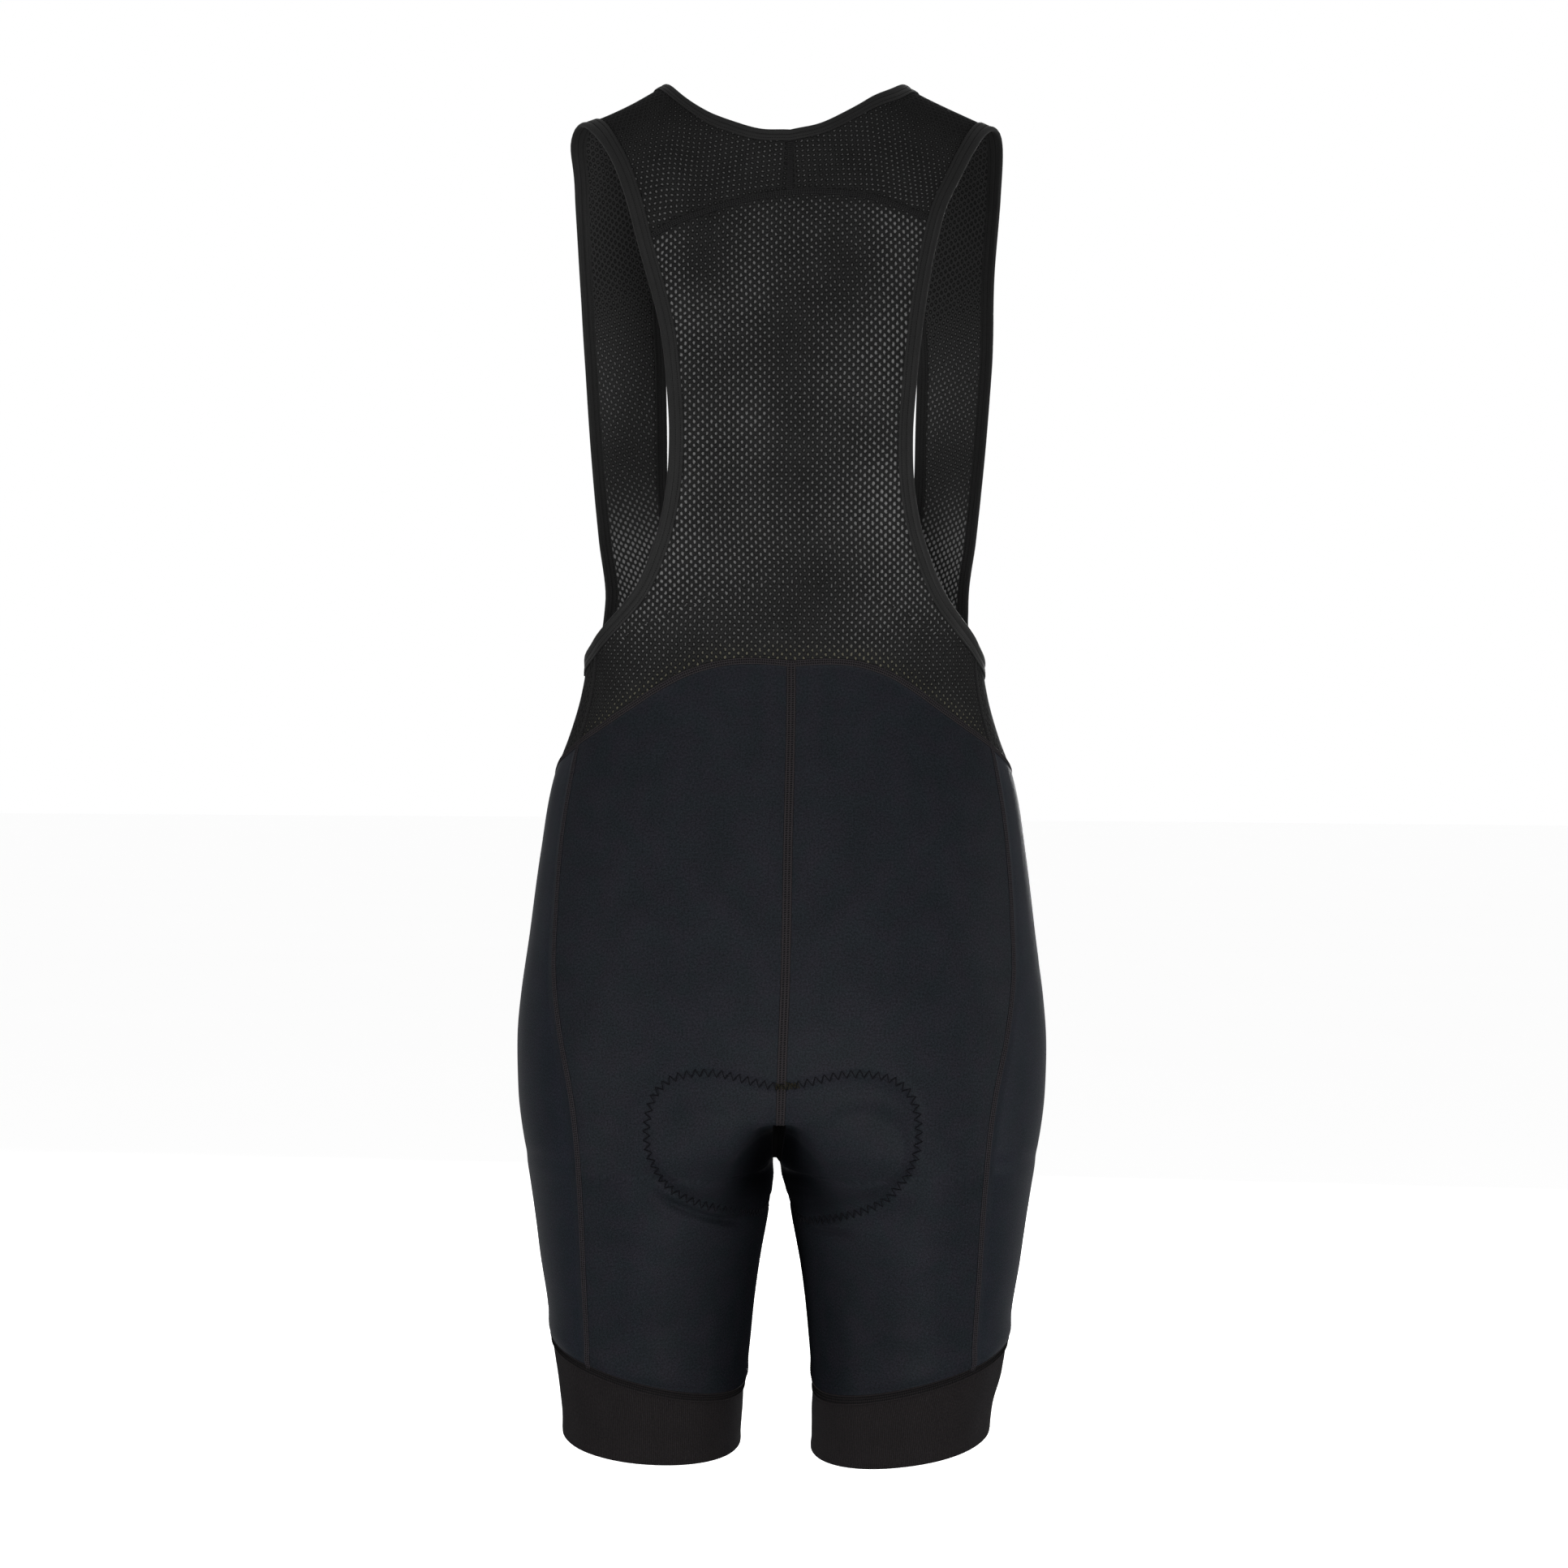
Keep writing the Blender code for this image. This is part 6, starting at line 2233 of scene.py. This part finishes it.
@dataclass
class SeatPad:
    """The padded seat, inside the crotch, and the zigzag that holds it to the cloth.

    Attributes:
        clearance: between the cloth and the pad at the middle.
        edge_clearance: the same where the zigzag holds it.
        thin: thickness of the foam at its edge.
        thick: thickness of the foam in its lobes.
        ridge: least share of a normal that points away from the body at the middle.
        pitch: from one zig to the next.
        zigzag_width: from side to side of the zigzag.
        tack: length of the dense stitching at the seat seam, on the left and on the right.
        tack_pitch: from one of its stitches to the next but one.
        tack_width: from side to side of it.
        pieces: the objects made.
    """

    clearance: float = 3.6
    edge_clearance: float = 0.8
    thin: float = 2.2
    thick: float = 6.5
    ridge: float = 0.3
    pitch: float = 5.7
    zigzag_width: float = 5.2
    tack: tuple[float, float] = (5.0, 12.5)
    tack_pitch: float = 0.9
    tack_width: float = 4.6
    pieces: list[bpy.types.Object] = field(default_factory=list)

    def foam(self) -> tuple[Array, Array]:
        """How thick the foam is, and its gap from the cloth, row by column."""
        share = np.linspace(0, 1, PAD_SHAPE.column_count)[None]
        direction = PAD_SHAPE.directions[:, None]
        edge = ramp(1 - share, 0, 0.22) * ramp(62 - direction, 0, 8) * ramp(direction + 60, 0, 9)
        width = PAD_SHAPE.half_widths[:, None]
        across = share * width
        channel = bell(across / 3.2) * ramp(38 - direction, 0, 8) * ramp(direction + 46, 0, 10)
        lobe_edge = bell((across - 0.62 * width) / 2.2) * ramp(direction - 20, 0, 8)
        cross_channel = bell((direction - 24 - 0.12 * across) / 2.2) * ramp(1 - share, 0, 0.2)
        soft = 1 - 0.55 * channel - 0.3 * lobe_edge - 0.35 * cross_channel
        thickness = self.thin + (self.thick - self.thin) * edge * np.clip(soft, 0.2, 1)
        gap = self.edge_clearance + (self.clearance - self.edge_clearance) * ramp(1 - share, 0, 0.3)
        return thickness, np.broadcast_to(gap, thickness.shape)

    def build(self) -> None:
        """Makes the pad."""
        pairs = PAD_SHAPE.pairs
        thickness, gap = self.foam()
        normals = FIGURE.normals(pairs[..., 0], pairs[..., 1])
        bearing = np.radians(PAD_SHAPE.directions)
        downward = np.stack([0 * bearing, np.sin(bearing), -np.cos(bearing)], -1)
        facing = (normals[:, 0] * downward).sum(-1, keepdims=True)
        normals[:, 0] = downward / np.maximum(facing, self.ridge)
        halves = []
        for side in (RIGHT, LEFT):
            cloth = worn(pairs, side)
            outward = normals * np.array([side, 1, 1])
            under = cloth - outward * (CLOTH + gap)[..., None]
            over = cloth - outward * (CLOTH + gap + thickness)[..., None]
            over[:, 0] = under[:, 0] - downward * thickness[:, :1]
            halves.append((under, over))
        for right, left in zip(*halves):
            right[:, 0] = left[:, 0] = (right[:, 0] + left[:, 0]) / 2 * (0, 1, 1)
        outer, inner = (
            np.concatenate([right[:, :0:-1], left], 1) for right, left in zip(*halves)
        )
        columns = outer.shape[1]
        along = np.linspace(-1, 1, columns)[None, :, None] * PAD_SHAPE.half_widths[:, None, None]
        down = np.broadcast_to(np.linspace(0, 260, len(outer))[:, None, None], along.shape)
        flat = np.concatenate([along + 100, down], -1) * MM
        pad = shell("seat_pad_foam", outer, inner, flat, PAD_FLEECE)
        deselect()
        pad.select_set(True)
        bpy.context.view_layer.objects.active = pad
        rounding = pad.modifiers.new("rounding", "SUBSURF")
        rounding.levels = rounding.render_levels = 1
        bpy.ops.object.modifier_apply(modifier="rounding")
        settle(pad, "seat_pad", slot=Slot.PAD)
        self.pieces = [pad, *self.zigzag()]

    def zigzag(self) -> list[bpy.types.Object]:
        """Sews the pad's outline through the cloth, and tacks it where it meets the seat seam."""
        stitches, tacks = [], []
        for side in (LEFT, RIGHT):
            line = PAD_SHAPE.sewn_line(side)
            stitches.append(self.sewn(FIGURE.evenly(line, self.pitch / 2), side, self.zigzag_width))
            start = line[FIGURE.length_of(line) < self.tack[side == RIGHT]]
            tacks.append(self.sewn(FIGURE.evenly(start, self.tack_pitch), side, self.tack_width))
        sewn = THICK_NEEDLE.sew("seat_pad_zigzag", np.concatenate(stitches), 0.75, PAD_THREAD)
        tack = THICK_NEEDLE.sew("seat_pad_tack", np.concatenate(tacks), 0.5, TACK_THREAD)
        return [settle(sewn), settle(tack)]

    @staticmethod
    def sewn(line: Array, side: int, width: float) -> Array:
        """Stitches that swing from side to side of a line, turning at each of its places."""
        swing = np.where(np.arange(len(line)) % 2 == 0, 1, -1) * width / 2
        sideways = unit(np.cross(FIGURE.along(line), FIGURE.normals(*line.T)))
        turning = FIGURE.moved(line, sideways * swing[:, None])
        points = worn(turning, side, 0.3)
        points[[0, -1], 0] *= 0
        up = worn(turning, side, 1.3) - points
        return np.stack([points[:-1], points[1:], up[:-1]], 1)


class Lamp(NamedTuple):
    """A soft box: its name, place, size across and power."""

    name: str
    place: tuple[float, float, float]
    size: float
    power: float


@dataclass
class Studio:
    """A pale floor, soft light from all round, and the camera behind the wearer's back."""

    distance: float = 2.4
    aside: float = 0.029
    middle: float = -0.4566
    lens: float = 81.3
    roll: float = 0.45
    floor_drop: float = 0.16
    surround_low: float = 0.03
    surround_high: float = 0.12
    surround_gloss: float = 0.5
    lamps: tuple[Lamp, ...] = (
        Lamp("softbox_above", (0.3, 1.6, 1.3), 0.6, 9.0),
        Lamp("softbox_back_left", (1.6, 1.2, -0.8), 0.6, 11.5),
        Lamp("softbox_back_low", (-0.2, 1.15, -0.94), 0.3, 7.3),
        Lamp("softbox_behind", (0.2, 2.3, 0.0), 0.8, 4.5),
        Lamp("softbox_right", (-2.0, 0.2, -0.6), 0.8, 10.5),
        Lamp("softbox_front", (-0.5, -2.75, 0.3), 1.6, 70.0),
    )

    def camera(self) -> None:
        """Stands the camera level with the middle of the garment."""
        data = bpy.data.cameras.new("camera")
        data.sensor_width = 36.0
        data.lens = self.lens
        camera = bpy.data.objects.new("camera", data)
        camera.location = (self.aside, self.distance, self.middle)
        ahead = Vector((-self.aside, -self.distance, 0.0)).normalized()
        level = ahead.to_track_quat("-Z", "Y").to_matrix()
        turned = level @ Matrix.Rotation(math.radians(self.roll), 3, "Z")
        camera.rotation_euler = turned.to_euler()
        bpy.context.scene.collection.objects.link(camera)
        bpy.context.scene.camera = camera

    def floor(self) -> None:
        """Lays the paper floor below the hems, where it throws no light up at the garment."""
        deselect()
        low = CAD_BOX[0][2] - self.floor_drop
        bpy.ops.mesh.primitive_circle_add(vertices=96, radius=60, fill_type="NGON")
        floor = bpy.context.object
        floor.name = "floor"
        floor.data.transform(Matrix.Translation((0, 0, low)))
        floor.data.materials.append(FLOOR_PAPER.material())
        floor.visible_diffuse = floor.visible_glossy = False

    def surround(self) -> None:
        """Lights the garment from all round, more from above than from below, on white."""
        world = bpy.data.worlds.new("surround")
        bpy.context.scene.world = world
        world.use_nodes = True
        add = partial(add_node, world.node_tree)
        axes = add("SeparateXYZ", {0: add("TexCoord").outputs["Generated"]})
        low, high = self.surround_low, self.surround_high
        rise = add("MapRange", {0: axes.outputs[2], 1: -0.5, 2: 0.7, 3: low, 4: high})
        path = add("LightPath")
        gloss = {0: path.outputs["Is Glossy Ray"], 1: self.surround_gloss}
        gloss = add("Math", gloss, operation="MULTIPLY")
        white = {0: path.outputs["Is Camera Ray"], 1: rise}
        white = add("Math", white, operation="MAXIMUM")
        white = add("Math", {0: white, 1: gloss}, operation="MAXIMUM")
        connect(world.node_tree.nodes["Background"], {0: linear("#ffffff"), 1: white})

    def lights(self) -> None:
        """Hangs the soft boxes."""
        for lamp in self.lamps:
            data = bpy.data.lights.new(lamp.name, "AREA")
            data.shape = "SQUARE"
            data.size = lamp.size
            data.energy = lamp.power
            box = bpy.data.objects.new(lamp.name, data)
            box.location = lamp.place
            aim = Vector((0, 0, self.middle)) - Vector(lamp.place)
            box.rotation_euler = aim.to_track_quat("-Z", "Y").to_euler()
            bpy.context.scene.collection.objects.link(box)

    def build(self) -> None:
        """Sets up the studio."""
        self.camera()
        self.floor()
        self.surround()
        self.lights()
        view = bpy.context.scene.view_settings
        view.view_transform = "Standard"
        view.look = "None"


def main() -> None:
    """Builds the garment piece by piece, and the studio round it."""
    logging.basicConfig(level=logging.INFO, format="%(name)s %(message)s")
    Studio().build()
    shorts = Shorts()
    shorts.build()
    top = MeshTop(Upper(shorts.waist_turns))
    top.build()
    for side in (LEFT, RIGHT):
        LegBand(shorts.leg_turns, side).build()
    upper = top.upper
    Binding("neck_binding", upper.neck_outline, NECK_WIDTH, -1, (LEFT, RIGHT)).build()
    for side, word in SIDES:
        Binding(f"armhole_binding_{word}", upper.armhole_outline, ARMHOLE_WIDTH, 1, (side,)).build()
    seams = Seams(shorts, top)
    seams.build()
    pad = SeatPad()
    pad.build()
    trims = {
        "seat_left": seams.on("seat_seam") + seams.on("side_back_seam_left") + [pad.pieces[1]],
        "seat_right": seams.on("side_back_seam_right"),
        "side_left": seams.on("side_front_seam_left"),
        "side_right": seams.on("side_front_seam_right"),
        "front_left": seams.on("fly_seam") + seams.on("inner_leg_seam_left"),
        "front_right": seams.on("inner_leg_seam_right"),
        "back_mesh": seams.on("yoke_seam") + seams.on("mesh_side_seam"),
        "strap_left": seams.on("yoke_middle_seam") + seams.on("waist_seam_left"),
        "strap_right": seams.on("chest_middle_seam") + seams.on("waist_seam_right"),
    }
    for panel in (*shorts.panels, *top.panels):
        panel.declare(trims[panel.node])


if __name__ == "__main__":
    main()
